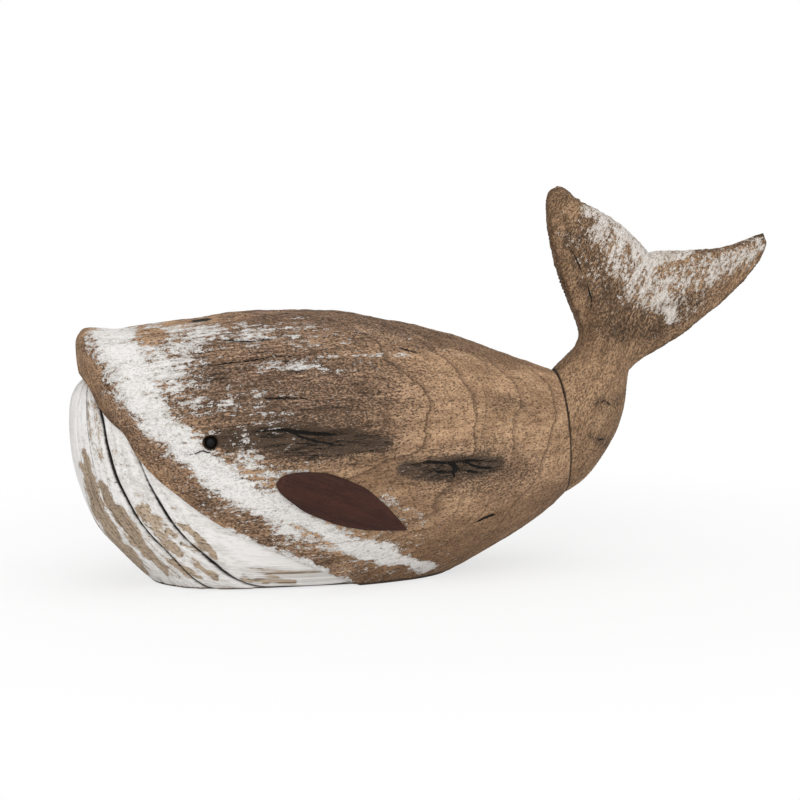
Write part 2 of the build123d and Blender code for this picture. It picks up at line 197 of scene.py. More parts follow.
def facing(turn: float, tilt: float) -> np.ndarray:
    """Unit direction out of the left flank, turned towards the head and tilted up by so many degrees."""
    turn, tilt = math.radians(turn), math.radians(tilt)
    return np.array([-math.sin(turn) * math.cos(tilt), -math.cos(turn) * math.cos(tilt), math.sin(tilt)])


def laid_on(out: np.ndarray, droop: float) -> tuple[np.ndarray, np.ndarray]:
    """Unit directions along a line square to out that falls towards the tail by degrees, and across it."""
    slope = math.radians(droop)
    along = np.array([math.cos(slope), 0.0, -math.sin(slope)])
    along = along - out * (along @ out)
    along /= np.linalg.norm(along)
    return along, np.cross(along, out)


def to_left(points: np.ndarray) -> np.ndarray:
    """Signs that bring points of either flank to the left one, and back again."""
    return np.where(points[..., 1:2] > 0, -1.0, 1.0) * np.array([0.0, 1.0, 0.0]) + np.array([1.0, 0.0, 1.0])


def there_and_back(flank: np.ndarray) -> np.ndarray:
    """Numbers of a left flank from top to bottom, and the same ones back up for the right flank."""
    return np.concatenate([flank, flank[:, ::-1]], axis=1)


def running_length(rows: np.ndarray) -> np.ndarray:
    """Length of each row of points from its start to each of its points."""
    steps = np.linalg.norm(np.diff(rows, axis=1), axis=-1)
    return np.concatenate([np.zeros((len(rows), 1)), np.cumsum(steps, axis=1)], axis=1)


def rounding(away: np.ndarray, radius: float) -> np.ndarray:
    """How far a quarter round draws a surface back, at a distance from its sharp edge."""
    return radius * (1.0 - np.sqrt(1.0 - np.clip(1.0 - away / radius, 0.0, 1.0) ** 2))


def stand(name: str, data: bpy.types.ID, columns: np.ndarray | None = None) -> bpy.types.Object:
    """Adds an object at the origin, or with its three axes and its place in metres as columns."""
    thing = bpy.data.objects.new(name, data)
    bpy.context.collection.objects.link(thing)
    if columns is not None:
        thing.matrix_world = Matrix(columns.tolist() + [[0.0, 0.0, 0.0, 1.0]])
    return thing


# The viewpoint.


@dataclass(frozen=True)
class Viewpoint:
    """Camera at the photograph's angle: a long lens far from the whale's left flank, slightly above it."""

    azimuth: float = -12.0
    elevation: float = 8.0
    distance: float = 1568.0
    target: tuple[float, float, float] = (-16.0, 0.0, 101.5)
    lens: float = 120.0
    sensor: float = 36.0

    def axes(self) -> tuple[np.ndarray, np.ndarray, np.ndarray]:
        """Unit directions to the right, up and back towards the camera."""
        turn, back = math.radians(self.azimuth), facing(-self.azimuth, self.elevation)
        right = np.array([math.cos(turn), math.sin(turn), 0.0])
        return right, np.cross(back, right), back

    def seen(self, points: np.ndarray) -> np.ndarray:
        """Picture place of points on either flank, as if all of them lay on the left one.

        A point's offset from the camera along the right and up axes is divided by its depth and scaled
        by the lens.

        Args:
            points: Places in millimetres, in the last axis.

        Returns:
            Pixels from the picture's left and top edges, for a picture of 800 by 800.
        """
        right, up, back = self.axes()
        offset = points * to_left(points) - (np.array(self.target) + back * self.distance)
        scale = self.lens / self.sensor * PICTURE_SIDE / -(offset @ back)
        return np.stack([PICTURE_SIDE / 2 + offset @ right * scale, PICTURE_SIDE / 2 - offset @ up * scale], -1)

    def place(self) -> None:
        """Adds the camera and makes it the scene's own."""
        data = bpy.data.cameras.new("camera")
        data.lens, data.sensor_width = self.lens, self.sensor
        data.clip_start, data.clip_end = 0.05, 50.0
        right, up, back = self.axes()
        place = (np.array(self.target) + back * self.distance) * MM
        bpy.context.scene.camera = stand("camera", data, np.stack([right, up, back, place], axis=1))


VIEW = Viewpoint()


# Marks that are laid on the surface, as seen from the viewpoint.


@dataclass(frozen=True)
class Patch:
    """Oval patch on a flank for paint, stains, wear, tones and painted shade, in pixels of the view.

    Attributes:
        x: Centre from the left.
        y: Centre from the top.
        long: Half length.
        short: Half width.
        turn: Degrees that the long axis is turned clockwise from level.
        strength: Value in the middle.
    """

    x: float
    y: float
    long: float
    short: float
    turn: float = 0.0
    strength: float = 1.0

    def value(self, seen: np.ndarray) -> np.ndarray:
        """Strength in the middle of the oval, falling to nothing from 0.3 to 1.5 of its size."""
        turn = math.radians(self.turn)
        across = seen - np.array([self.x, self.y])
        u = across[..., 0] * math.cos(turn) + across[..., 1] * math.sin(turn)
        v = across[..., 1] * math.cos(turn) - across[..., 0] * math.sin(turn)
        return self.strength * smooth_step(*MARK_FADE, np.hypot(u / self.long, v / self.short))


@dataclass(frozen=True)
class Stroke:
    """Band along a given line, in pixels of the view, for paint, stains, wear, tones and painted shade.

    Attributes:
        points: Places from the left and the top, each with the band's half width there.
        strength: Value on the line.
    """

    points: tuple[tuple[float, float, float], ...]
    strength: float = 1.0

    def value(self, seen: np.ndarray) -> np.ndarray:
        """Strength on the line, falling to nothing from 0.3 to 1.5 of the half width."""
        corners = np.array(self.points)
        ratio = np.full(seen.shape[:-1], np.inf)
        for start, end in zip(corners[:-1], corners[1:]):
            away, along = segment_distance(seen, start[:2], end[:2])
            ratio = np.minimum(ratio, away / (start[2] + along * (end[2] - start[2])))
        return self.strength * smooth_step(*MARK_FADE, ratio)


@dataclass(frozen=True)
class Crack:
    """Check in the wood along the grain, in pixels of the view, with its half width and depth in mm.

    It narrows over the first and the last quarter of its length.
    """

    points: tuple[tuple[float, float], ...]
    half_width: float = 0.6
    depth: float = 1.0

    def outside(self, seen: np.ndarray) -> np.ndarray:
        """Distance in mm from the check's edge, negative inside it."""
        best = np.full(seen.shape[:-1], np.inf)
        runs = list(zip(self.points[:-1], self.points[1:]))
        for number, (start, end) in enumerate(runs):
            away, along = segment_distance(seen, np.array(start), np.array(end))
            whole = (number + along) / len(runs)
            half = self.half_width * np.clip(CHECK_TAPER * np.minimum(whole, 1.0 - whole), 0.0, 1.0)
            best = np.minimum(best, away / PIXELS_PER_MM - half)
        return best


@dataclass
class Drawing:
    """A piece's points as seen in the picture, and a shake that gives the marks uneven edges.

    Attributes:
        points: The piece's points in mm.
        shake: Noise whose pair of values shifts each point.
    """

    points: np.ndarray
    shake: Noise

    def __post_init__(self) -> None:
        """Works out the places and the shifts once."""
        self.seen, self.shift = VIEW.seen(self.points), self.shake.pair(self.points)

    def strongest(self, marks: tuple[Patch | Stroke, ...], pixels: float) -> np.ndarray:
        """Strongest patch or stroke at each point, with edges shaken by so many pixels."""
        seen = self.seen + pixels * self.shift
        return np.maximum.reduce([mark.value(seen) for mark in marks])

    def checks(self, cracks: tuple[Crack, ...]) -> tuple[np.ndarray, np.ndarray]:
        """Depth of the checks' soft shoulders at each point, and the distance from the nearest edge, in mm."""
        seen = self.seen + CHECK_SHAKE * self.shift
        gaps = [crack.outside(seen) for crack in cracks]
        depths = [crack.depth * smooth_step(*CHECK_SHOULDER, gap) for crack, gap in zip(cracks, gaps)]
        return np.maximum.reduce(depths), np.minimum(np.minimum.reduce(gaps), FAR_FROM_CRACK)


@dataclass(frozen=True)
class Hollow:
    """Weathered hollow on each flank: a round scoop along the grain, in mm.

    Attributes:
        place: Middle of the left one, on the flank.
        turn: Degrees that it faces towards the head.
        tilt: Degrees that it faces up.
        droop: Degrees that its line falls towards the tail.
        depth: Depth of its floor.
        radius: Radius of the scoop.
        reach: Half length of the scoop.
    """

    place: tuple[float, float, float]
    turn: float
    tilt: float
    depth: float
    droop: float = 3.5
    radius: float = 30.0
    reach: float = 60.0

    def scoop(self, points: np.ndarray) -> np.ndarray:
        """Moves points that lie outside the scoop's round floor straight down to it, on both flanks.

        The floor lies at (radius - depth) less the root of radius squared less the breadth squared.

        Args:
            points: Places in mm.

        Returns:
            The moved places.
        """
        breadth_share, most_depths = 0.7, 2.0
        hand = to_left(points)
        local = points * hand - np.array(self.place)
        out = facing(self.turn, self.tilt)
        along, across = laid_on(out, self.droop)
        a, b, c = local @ along, local @ across, local @ out
        floor = self.radius - self.depth - np.sqrt(np.maximum(self.radius**2 - b**2, 0.0))
        near = (np.abs(a) < self.reach) & (np.abs(b) < breadth_share * self.radius)
        extra = np.where(near, np.maximum(c - floor, 0.0), 0.0)
        extra = np.where(extra < most_depths * self.depth, extra, 0.0)
        return points - extra[..., None] * out * hand


# Meshes.


def closed_tube(name: str, rings: np.ndarray, marks: Marks, runs: np.ndarray | None = None) -> bpy.types.Object:
    """Closed mesh of a grid of rings, with a fan of triangles to a pole at each end.

    Args:
        name: Name of the piece.
        rings: Places in millimetres, by ring and then around the ring.
        marks: Numbers for each grid point, kept as attributes that the finish reads.
        runs: Place of each grid point along and across the grain in mm, where that bends with the form.

    Returns:
        The new object, at the origin.
    """
    count, around = rings.shape[:2]
    verts = np.vstack([rings.reshape(-1, 3), rings[[0, -1]].mean(axis=1)]) * MM
    grid = np.arange(count * around).reshape(count, around)
    here, after = grid[:-1], np.roll(grid[:-1], -1, axis=1)
    above, above_after = grid[1:], np.roll(grid[1:], -1, axis=1)
    quads = np.stack([here, after, above_after, above], axis=-1).reshape(-1, 4)
    first, last = np.full(around, count * around), np.full(around, count * around + 1)
    start_fan = np.stack([first, np.roll(grid[0], -1), grid[0]], axis=-1)
    end_fan = np.stack([last, grid[-1], np.roll(grid[-1], -1)], axis=-1)
    corners = verts[quads]
    outward = np.cross(corners[:, 2] - corners[:, 0], corners[:, 3] - corners[:, 1])
    if np.sum(outward * (corners.mean(axis=1) - verts.mean(axis=0))) < 0:
        quads, start_fan, end_fan = quads[:, ::-1], start_fan[:, ::-1], end_fan[:, ::-1]
    mesh = bpy.data.meshes.new(name)
    mesh.from_pydata(verts.tolist(), [], quads.tolist() + start_fan.tolist() + end_fan.tolist())
    mesh.shade_smooth()
    for mark, values in marks.items():
        poles = [float(values[0].mean()), float(values[-1].mean())]
        layer = mesh.attributes.new(mark, "FLOAT", "POINT")
        layer.data.foreach_set("value", np.concatenate([values.ravel(), poles]).astype(np.float32))
    if runs is not None:
        layer = mesh.attributes.new("run", "FLOAT_VECTOR", "POINT")
        ends = np.vstack([runs.reshape(-1, 3), runs[[0, -1]].mean(axis=1)]) * MM
        layer.data.foreach_set("vector", ends.ravel().astype(np.float32))
    mesh.update()
    return stand(name, mesh)


def settle(piece: bpy.types.Object, material: bpy.types.Material, slot: str, *nodes: str) -> None:
    """Gives a piece its finish, ties it to the whale and lets it stand for its nodes.

    Args:
        piece: The new piece.
        material: Its finish.
        slot: The record's material slot, which is not used.
        nodes: The nodes that it replaces.
    """
    piece.data.materials.append(material)
    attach(piece, "root")
    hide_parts(*nodes)
    LOG.info("%s: %d faces", piece.name, len(piece.data.polygons))


# Finishes.


def sum_node(operation: str, turned: bool = False) -> Callable[["Signal", "Signal | float"], "Signal"]:
    """Makes an operator that adds one node for a sum, with the two sides turned round where that is asked."""

    def operator(this: "Signal", other: "Signal | float") -> "Signal":
        """Adds the node."""
        first, second = (other, this) if turned else (this, other)
        return this.sheet.math(operation, first, second)

    return operator


class Signal:
    """Output of a node, with which sums are written as with a number."""

    __add__, __radd__ = sum_node("ADD"), sum_node("ADD", turned=True)
    __sub__, __rsub__ = sum_node("SUBTRACT"), sum_node("SUBTRACT", turned=True)
    __mul__, __truediv__ = sum_node("MULTIPLY"), sum_node("DIVIDE")

    def __init__(self, sheet: "Sheet", socket: bpy.types.NodeSocket) -> None:
        """Keeps the sheet and the output."""
        self.sheet, self.socket = sheet, socket

    def step(self, low: float, high: float) -> "Signal":
        """Smooth rise from 0 at low to 1 at high."""
        inputs = {"Value": self, "From Min": low, "From Max": high}
        return self.sheet.add("ShaderNodeMapRange", inputs, interpolation_type="SMOOTHSTEP")


@dataclass(frozen=True)
class Grade:
    """Fineness of a noise in a finish.

    Attributes:
        along: Clumps per metre along the grain.
        across: Clumps per metre across it.
        layers: How many layers.
        rough: Strength of each layer as a share of the one before.
        bend: How far it is bent out of line.
    """

    along: float
    across: float
    layers: float
    rough: float = 0.6
    bend: float = 0.0


RING_BEND = Grade(10.0, 20.0, 2.0, 0.45)
STREAKS = Grade(12.0, 150.0, 5.0)
FIBRES = Grade(38.0, 760.0, 4.0, 0.7)
FLECKS = Grade(620.0, 1150.0, 3.0, 0.7)
PAINT_CLUMPS = Grade(75.0, 130.0, 3.0, bend=0.5)
PAINT_CHIPS = Grade(300.0, 560.0, 3.0, 0.65)
PAINT_SPECKS = Grade(1000.0, 1500.0, 2.0)
PAINT_STREAKS = Grade(20.0, 420.0, 3.0)
PAINT_THREADS = Grade(30.0, 700.0, 3.0)
PAINT_CLOUDS = Grade(60.0, 130.0, 5.0, 0.75)
CHECK_LINES = Grade(16.0, 420.0, 3.0, bend=0.1)
CHECK_GROUPS = Grade(45.0, 120.0, 2.0)
MOTTLE = Grade(35.0, 60.0, 4.0, 0.65)
STAIN_EDGES = Grade(60.0, 240.0, 5.0, 0.75)
CRACK_EDGES = Grade(350.0, 700.0, 2.0)
DUST = Grade(900.0, 900.0, 4.0, 0.7)
# Tints for darker tones with painted shade and for the fibres, and near black for painted shade inside cracks and
# kerfs.
TONE_AND_SHADE_TINT, FIBRE_TINT, CRACK_SHADE = (0.50, 0.47, 0.44), (0.42, 0.36, 0.32), (0.010, 0.008, 0.006)
LATE_WOOD, RING_WEIGHT, PORE_EDGE, CREST_EDGE = (1.0, 0.9), (0.3, 1.0), (0.47, 0.34), (0.52, 0.68)
PAINT_EDGE, THICK_PAINT, CLEAN_PAINT = (0.47, 0.55), (0.5, 0.95), (0.34, 0.72)
CHECK_EDGE, CHECK_GATE, CRACK_EDGE = (0.026, 0.006), (0.46, 0.6), (0.25, -0.15)
STREAK_EDGE, FIBRE_EDGE, STAIN_EDGE = (0.36, 0.62), (0.36, 0.6), (0.1, 0.85)


class Sheet:
    """Nodes of one material or node group, with short ways to add and join them."""

    def __init__(self, tree: bpy.types.NodeTree) -> None:
        """Starts on an empty tree."""
        self.tree = tree
        tree.nodes.clear()

    def node(self, kind: str, inputs: dict[str | int, object], **settings: object) -> bpy.types.Node:
        """Adds a node.

        Args:
            kind: Blender's name for the node.
            inputs: Plain values or signals for its inputs, by name or number.
            settings: The node's own settings.

        Returns:
            The node.
        """
        node = self.tree.nodes.new(kind)
        for key, value in settings.items():
            setattr(node, key, value)
        for key, value in inputs.items():
            if isinstance(value, Signal):
                self.tree.links.new(value.socket, node.inputs[key])
            else:
                node.inputs[key].default_value = value
        return node

    def outputs(self, kind: str, inputs: dict[str | int, object], **settings: object) -> dict[str, Signal]:
        """Adds a node and gives its outputs by name."""
        return {socket.name: Signal(self, socket) for socket in self.node(kind, inputs, **settings).outputs}

    def add(self, kind: str, inputs: dict[str | int, object], output: str | int = 0, **settings: object) -> Signal:
        """Adds a node and gives one of its outputs."""
        return Signal(self, self.node(kind, inputs, **settings).outputs[output])

    def math(self, operation: str, first: Signal | float, second: Signal | float = 0.0) -> Signal:
        """Result of a sum on one or two numbers."""
        return self.add("ShaderNodeMath", {0: first, 1: second}, operation=operation)

    def mix(self, share: Signal, first: Signal | Colour, second: Signal | Colour, blend: str = "MIX") -> Signal:
        """Blend of two colours."""
        first, second = ((*part, 1.0) if isinstance(part, tuple) else part for part in (first, second))
        return self.add("ShaderNodeMix", {0: share, 6: first, 7: second}, 2, data_type="RGBA", blend_type=blend)

    def noise(self, place: Signal, grade: Grade) -> Signal:
        """Cloudy noise around 0.5, drawn out along X."""
        fineness = (grade.along, grade.across, grade.across)
        scaled = self.add("ShaderNodeVectorMath", {0: place, 1: fineness}, operation="MULTIPLY")
        inputs = {"Vector": scaled, "Scale": 1.0, "Detail": grade.layers, "Roughness": grade.rough,
                  "Distortion": grade.bend}
        return self.add("ShaderNodeTexNoise", inputs, "Fac")

    def swing(self, place: Signal, grade: Grade) -> Signal:
        """Cloudy noise around 0."""
        return self.noise(place, grade) - 0.5

    def mark(self, name: str) -> Signal:
        """Number that the mesh carries under a name."""
        return self.add("ShaderNodeAttribute", {}, "Fac", attribute_name=name)

    def own_place(self) -> Signal:
        """Place of a point on its own piece."""
        return self.add("ShaderNodeTexCoord", {}, "Object")

    def turned_place(self, turn: float) -> Signal:
        """Place of a point, turned about Y by degrees so that the grain lies along X."""
        inputs = {"Vector": self.own_place(), "Rotation": (0.0, math.radians(turn), 0.0)}
        return self.add("ShaderNodeMapping", inputs)

    def looked_at(self) -> Signal:
        """1 where the camera sees a surface, also by way of a mirror or glass, and 0 for other light."""
        path = self.outputs("ShaderNodeLightPath", {})
        by_way = self.math("MAXIMUM", path["Is Glossy Ray"], path["Is Transmission Ray"])
        return self.math("MAXIMUM", path["Is Camera Ray"], by_way)


def new_material(name: str) -> tuple[bpy.types.Material, Sheet]:
    """Starts an empty material and gives its sheet too."""
    material = bpy.data.materials.new(name)
    material.use_nodes = True
    return material, Sheet(material.node_tree)


def times(share: float, colour: Colour) -> Colour:
    """Colour made darker or lighter."""
    return tuple(share * part for part in colour)


def make_group(name: str, inputs: tuple[str, ...], outputs: tuple[str, ...]) -> tuple[Sheet, dict[str, Signal]]:
    """Starts a shader node group that is given a place and some numbers and gives numbers.

    Args:
        name: The group's name.
        inputs: Names of the numbers that it is given besides Place.
        outputs: Names of the numbers that it gives.

    Returns:
        The sheet to work on, and what the group is given, by name.
    """
    group = bpy.data.node_groups.new(name, "ShaderNodeTree")
    group.interface.new_socket("Place", in_out="INPUT", socket_type="NodeSocketVector")
    for direction, sockets in (("INPUT", inputs), ("OUTPUT", outputs)):
        for socket in sockets:
            group.interface.new_socket(socket, in_out=direction, socket_type="NodeSocketFloat")
    sheet = Sheet(group)
    return sheet, sheet.outputs("NodeGroupInput", {})


def wood_figure() -> bpy.types.NodeTree:
    """Figure of wood whose grain runs along X: growth rings, streaks and pores.

    A ring is the fractional part of the distance from the pith, bent by noise and divided by the ring
    width. Streaks and pores are noise drawn out along the grain.

    Returns:
        The node group.
    """
    sheet, given = make_group(
        "wood figure", ("Pith Y", "Pith Z", "Ring width", "Pitting"),
        ("Ring", "Streak", "Fibre", "Pore", "Crest", "Height"),
    )
    place = given["Place"]
    parts = sheet.outputs("ShaderNodeSeparateXYZ", {0: place})
    across = sheet.math("POWER", parts["Y"] - given["Pith Y"], 2.0)
    upward = sheet.math("POWER", parts["Z"] - given["Pith Z"], 2.0)
    bend_metres, ring_power, ring_least, pitting_shift = 0.018, 3.0, 0.3, 0.07
    streak_height, pore_depth, crest_height, fibre_height, ring_depth = 0.8, 0.9, 0.35, 0.45, 0.9
    radius = sheet.math("SQRT", across + upward) + sheet.swing(place, RING_BEND) * bend_metres
    turns = radius / given["Ring width"]
    phase = sheet.math("FRACT", turns)
    which = sheet.add("ShaderNodeTexWhiteNoise", {"W": sheet.math("FLOOR", turns)}, "Value", noise_dimensions="1D")
    line = sheet.math("POWER", phase, ring_power) * phase.step(*LATE_WOOD)
    ring = line * (ring_least + which.step(*RING_WEIGHT))
    streak, fibre = sheet.noise(place, STREAKS), sheet.noise(place, FIBRES)
    fleck = sheet.noise(place, FLECKS)
    pore = (fleck - given["Pitting"] * pitting_shift).step(*PORE_EDGE)
    # Crest marks raised fibres: a bump here, and a painted highlight in the old wood's colour.
    crest = fleck.step(*CREST_EDGE)
    height = streak * streak_height - pore * pore_depth + crest * crest_height
    height = height + fibre * fibre_height - ring * ring_depth
    sheet.node("NodeGroupOutput", {
        "Ring": ring, "Streak": streak, "Fibre": fibre, "Pore": pore, "Crest": crest, "Height": height,
    })
    return sheet.tree


def flaked_paint() -> bpy.types.NodeTree:
    """Where old paint still holds: its coverage plus noise in clumps, flakes and specks, cut off sharply.

    Returns:
        The node group.
    """
    sheet, given = make_group("flaked paint", ("Coverage", "Raggedness", "Drawn out"), ("Mask", "Height", "Shade"))
    chip_share, speck_share, cloud_share, thread_share = 1.4, 0.95, 0.55, 0.45
    shade_height, shade_contrast, thick_light = 0.5, 0.75, 0.3
    place = given["Place"]
    ragged = sheet.swing(place, PAINT_CLUMPS) + sheet.swing(place, PAINT_CHIPS) * chip_share
    ragged = ragged + sheet.swing(place, PAINT_SPECKS) * speck_share
    ragged = ragged + sheet.swing(place, PAINT_STREAKS) * given["Drawn out"]
    total = given["Coverage"] + ragged * given["Raggedness"]
    mask, thick = total.step(*PAINT_EDGE), total.step(*THICK_PAINT)
    shade = sheet.noise(place, PAINT_CLOUDS) * cloud_share + sheet.noise(place, PAINT_THREADS) * thread_share
    clean = (shade * shade_contrast + thick * thick_light).step(*CLEAN_PAINT)
    sheet.node("NodeGroupOutput", {"Mask": mask, "Height": mask + shade * shade_height, "Shade": clean})
    return sheet.tree


def grain_checks() -> bpy.types.NodeTree:
    """Fine checks along the grain of weathered wood, where the finish paints shade: the thin valleys of noise drawn
    out along X.

    Returns:
        The node group.
    """
    sheet, given = make_group("grain checks", ("Amount",), ("Mask",))
    place = given["Place"]
    thin = sheet.math("ABSOLUTE", sheet.swing(place, CHECK_LINES)).step(*CHECK_EDGE)
    gate = sheet.noise(place, CHECK_GROUPS).step(*CHECK_GATE)
    sheet.node("NodeGroupOutput", {"Mask": thin * gate * given["Amount"]})
    return sheet.tree


class Effect(Enum):
    """The node groups that several finishes share."""

    FIGURE = "wood figure"
    PAINT = "flaked paint"
    CHECKS = "grain checks"

    def maker(self) -> Callable[[], bpy.types.NodeTree]:
        """Function that builds the group."""
        return {Effect.FIGURE: wood_figure, Effect.PAINT: flaked_paint, Effect.CHECKS: grain_checks}[self]

    def use(self, sheet: Sheet, inputs: dict[str, object]) -> dict[str, Signal]:
        """Places the shared group in a material, and builds it the first time."""
        tree = bpy.data.node_groups.get(self.value) or self.maker()()
        return sheet.outputs("ShaderNodeGroup", inputs, node_tree=tree)


@dataclass(frozen=True)
class OldWood:
    """Bare old wood with weathering, dark stains, checks and what is left of white paint.

    Attributes:
        name: Name of the finish.
        light: Pale wood between the rings.
        deep: Brown wood in the streaks.
        late: Dark line of a ring.
        worn: Wood where it is weathered.
        stain: Wood in the dark stains and hollows, also the colour of painted shade in the eye holes and along the
            tail joint.
        paint: Clean paint.
        dull_paint: Thin or dirty paint.
        turn: Degrees that the grain is turned about Y from level.
        pith: Distance of the pith from the middle along Y and Z, in metres.
        ring_width: Width of a growth ring in metres.
        ring_strength: How strongly the rings show.
        raggedness: How broken the edges of the paint are.
        drawn_out: How far the edges of the paint follow the grain.
        relief: Depth of the grain in metres.
        pitting: How open the pores are where the wood is sound.
        open_pores: How dark the pores are where the wood is sound.
        crack_noise: How jagged the edges of the cracks are, in mm.
        bent_grain: Whether the grain bends with the form, as the mesh's runs say.
    """

    name: str
    light: Colour
    deep: Colour
    late: Colour
    worn: Colour
    stain: Colour
    paint: Colour
    dull_paint: Colour
    turn: float = 3.5
    pith: tuple[float, float] = (0.08, 0.05)
    ring_width: float = 0.0034
    ring_strength: float = 0.8
    raggedness: float = 1.0
    drawn_out: float = 1.0
    relief: float = 0.0006
    pitting: float = 0.0
    open_pores: float = 0.75
    crack_noise: float = 1.1
    bent_grain: bool = False

    def place(self, sheet: Sheet) -> Signal:
        """Place of a point, with the grain along X."""
        if self.bent_grain:
            return sheet.add("ShaderNodeAttribute", {}, "Vector", attribute_name="run")
        return sheet.turned_place(self.turn)

    def wood(self, sheet: Sheet, place: Signal, figure: dict[str, Signal]) -> Signal:
        """Colour of the bare wood: streaks, weathering, painted highlights on the crests, tones with painted shade,
        fibres, rings, stains with painted shade, and pores in turn.
        """
        streak_share, mottle_share, tone_and_shade_shift, tone_and_shade_cover = 0.6, 0.4, 0.12, -0.65
        worn_cover, worn_dark, crest_highlight_cover, crest_highlight_lift = 0.9, 0.5, 0.4, 1.45
        fibre_cover, fibre_worn, stain_cover, stain_ragged, stain_and_shade_low, stain_and_shade_high = 0.42, 0.4, 0.93, 1.3, 0.5, 1.75
        pore_most, pore_worn, pore_dark = 0.95, 0.5, 0.22
        # The stain mark holds stains, painted shade in the eye holes and along the tail joint, and darkening at the
        # base.
        weather, tone_and_shade, stained = sheet.mark("weather"), sheet.mark("tone_and_shade"), sheet.mark("stain")
        streak = figure["Streak"] * streak_share + sheet.noise(place, MOTTLE) * mottle_share
        streak = (streak + tone_and_shade * tone_and_shade_shift).step(*STREAK_EDGE)
        fibre = figure["Fibre"].step(*FIBRE_EDGE)
        wood = sheet.mix(streak, self.deep, self.light)
        wood = sheet.mix(weather * worn_cover, wood, sheet.mix(streak, times(worn_dark, self.worn), self.worn))
        # Painted highlight: the raised crests of the grain are lightened.
        wood = sheet.mix(figure["Crest"] * crest_highlight_cover, wood, times(crest_highlight_lift, self.light))
        # Darker tones, and painted shade along the outlines, multiply the colour.
        wood = sheet.mix(tone_and_shade * tone_and_shade_cover, wood, TONE_AND_SHADE_TINT, "MULTIPLY")
        wood = sheet.mix((1.0 - fibre) * (fibre_cover + weather * fibre_worn), wood, FIBRE_TINT, "MULTIPLY")
        wood = sheet.mix(figure["Ring"] * self.ring_strength, wood, self.late)
        dark = (stained + sheet.swing(place, STAIN_EDGES) * stain_ragged).step(*STAIN_EDGE)
        # Colour of the stains and of the painted shade that the stain mark carries.
        stain_and_shade_colour = sheet.mix(fibre, times(stain_and_shade_low, self.stain), times(stain_and_shade_high, self.stain))
        wood = sheet.mix(dark * stain_cover, wood, stain_and_shade_colour)
        openness = sheet.math("MINIMUM", pore_most, self.open_pores + weather * pore_worn)
        return sheet.mix(figure["Pore"] * openness, wood, times(pore_dark, self.deep))

    def material(self) -> bpy.types.Material:
        """Builds the material: wood first, then the paint and the painted shade in the checks, cracks and kerfs."""
        checks_least, checks_worn, checks_depth = 0.12, 0.9, 0.8
        filled_by_paint, paint_height, fissure_depth = 0.55, 0.5, 1.3
        smoothest, streak_rough, bump_strength, sheen = 0.66, 0.25, 0.85, 0.25
        material, sheet = new_material(self.name)
        place = self.place(sheet)
        weather, stained = sheet.mark("weather"), sheet.mark("stain")
        figure = Effect.FIGURE.use(sheet, {
            "Place": place, "Pith Y": self.pith[0], "Pith Z": self.pith[1], "Ring width": self.ring_width,
            "Pitting": self.pitting + (weather + stained),
        })
        amount = checks_least + (weather * checks_worn + stained)
        checks = Effect.CHECKS.use(sheet, {"Place": place, "Amount": amount})
        flakes = Effect.PAINT.use(sheet, {
            "Place": place, "Coverage": sheet.mark("paint"), "Raggedness": self.raggedness,
            "Drawn out": self.drawn_out,
        })
        painted = flakes["Mask"]
        paint = sheet.mix(flakes["Shade"], self.dull_paint, self.paint)
        colour = sheet.mix(painted, self.wood(sheet, place, figure), paint)
        # Painted shade inside cracks, kerfs and fine checks: near black where the crack mark is below zero.
        jagged = sheet.swing(place, CRACK_EDGES) * self.crack_noise
        split = (sheet.mark("crack") + jagged).step(*CRACK_EDGE)
        fissure = sheet.math("MAXIMUM", split, checks["Mask"] * (1.0 - painted) * checks_depth)
        height = figure["Height"] * (1.0 - painted * filled_by_paint) + flakes["Height"] * paint_height
        bump = {"Strength": bump_strength, "Distance": self.relief, "Height": height - fissure * fissure_depth}
        shader = sheet.add("ShaderNodeBsdfPrincipled", {
            "Base Color": sheet.mix(fissure, colour, CRACK_SHADE),
            "Roughness": smoothest + figure["Streak"] * streak_rough,
            "Normal": sheet.add("ShaderNodeBump", bump),
            "Specular IOR Level": sheen,
        })
        sheet.node("ShaderNodeOutputMaterial", {"Surface": shader})
        return material


@dataclass(frozen=True)
class StainedWood:
    """Fine-grained wood with a stain and no paint, for the fins and the hidden pegs."""

    name: str
    light: Colour
    dark: Colour
    turn: float = 0.0
    roughness: float = 0.5

    def material(self) -> bpy.types.Material:
        """Builds the material from the shared figure with narrow rings."""
        pith_below, ring_width, grain_edge = -0.05, 0.0021, (0.4, 0.6)
        ring_cover, pore_cover, line_dark = 0.2, 0.35, 0.3
        bump_strength, relief, streak_rough, sheen = 0.7, 0.0003, 0.15, 0.22
        material, sheet = new_material(self.name)
        figure = Effect.FIGURE.use(sheet, {
            "Place": sheet.turned_place(self.turn), "Pith Y": 0.0, "Pith Z": pith_below, "Ring width": ring_width,
            "Pitting": 0.0,
        })
        grain = (figure["Streak"] * 0.5 + figure["Fibre"] * 0.5).step(*grain_edge)
        lines = figure["Ring"] * ring_cover + figure["Pore"] * pore_cover
        bump = {"Strength": bump_strength, "Distance": relief, "Height": figure["Height"]}
        shader = sheet.add("ShaderNodeBsdfPrincipled", {
            "Base Color": sheet.mix(lines, sheet.mix(grain, self.dark, self.light), times(line_dark, self.dark)),
            "Roughness": self.roughness + figure["Streak"] * streak_rough,
            "Normal": sheet.add("ShaderNodeBump", bump),
            "Specular IOR Level": sheen,
        })
        sheet.node("ShaderNodeOutputMaterial", {"Surface": shader})
        return material


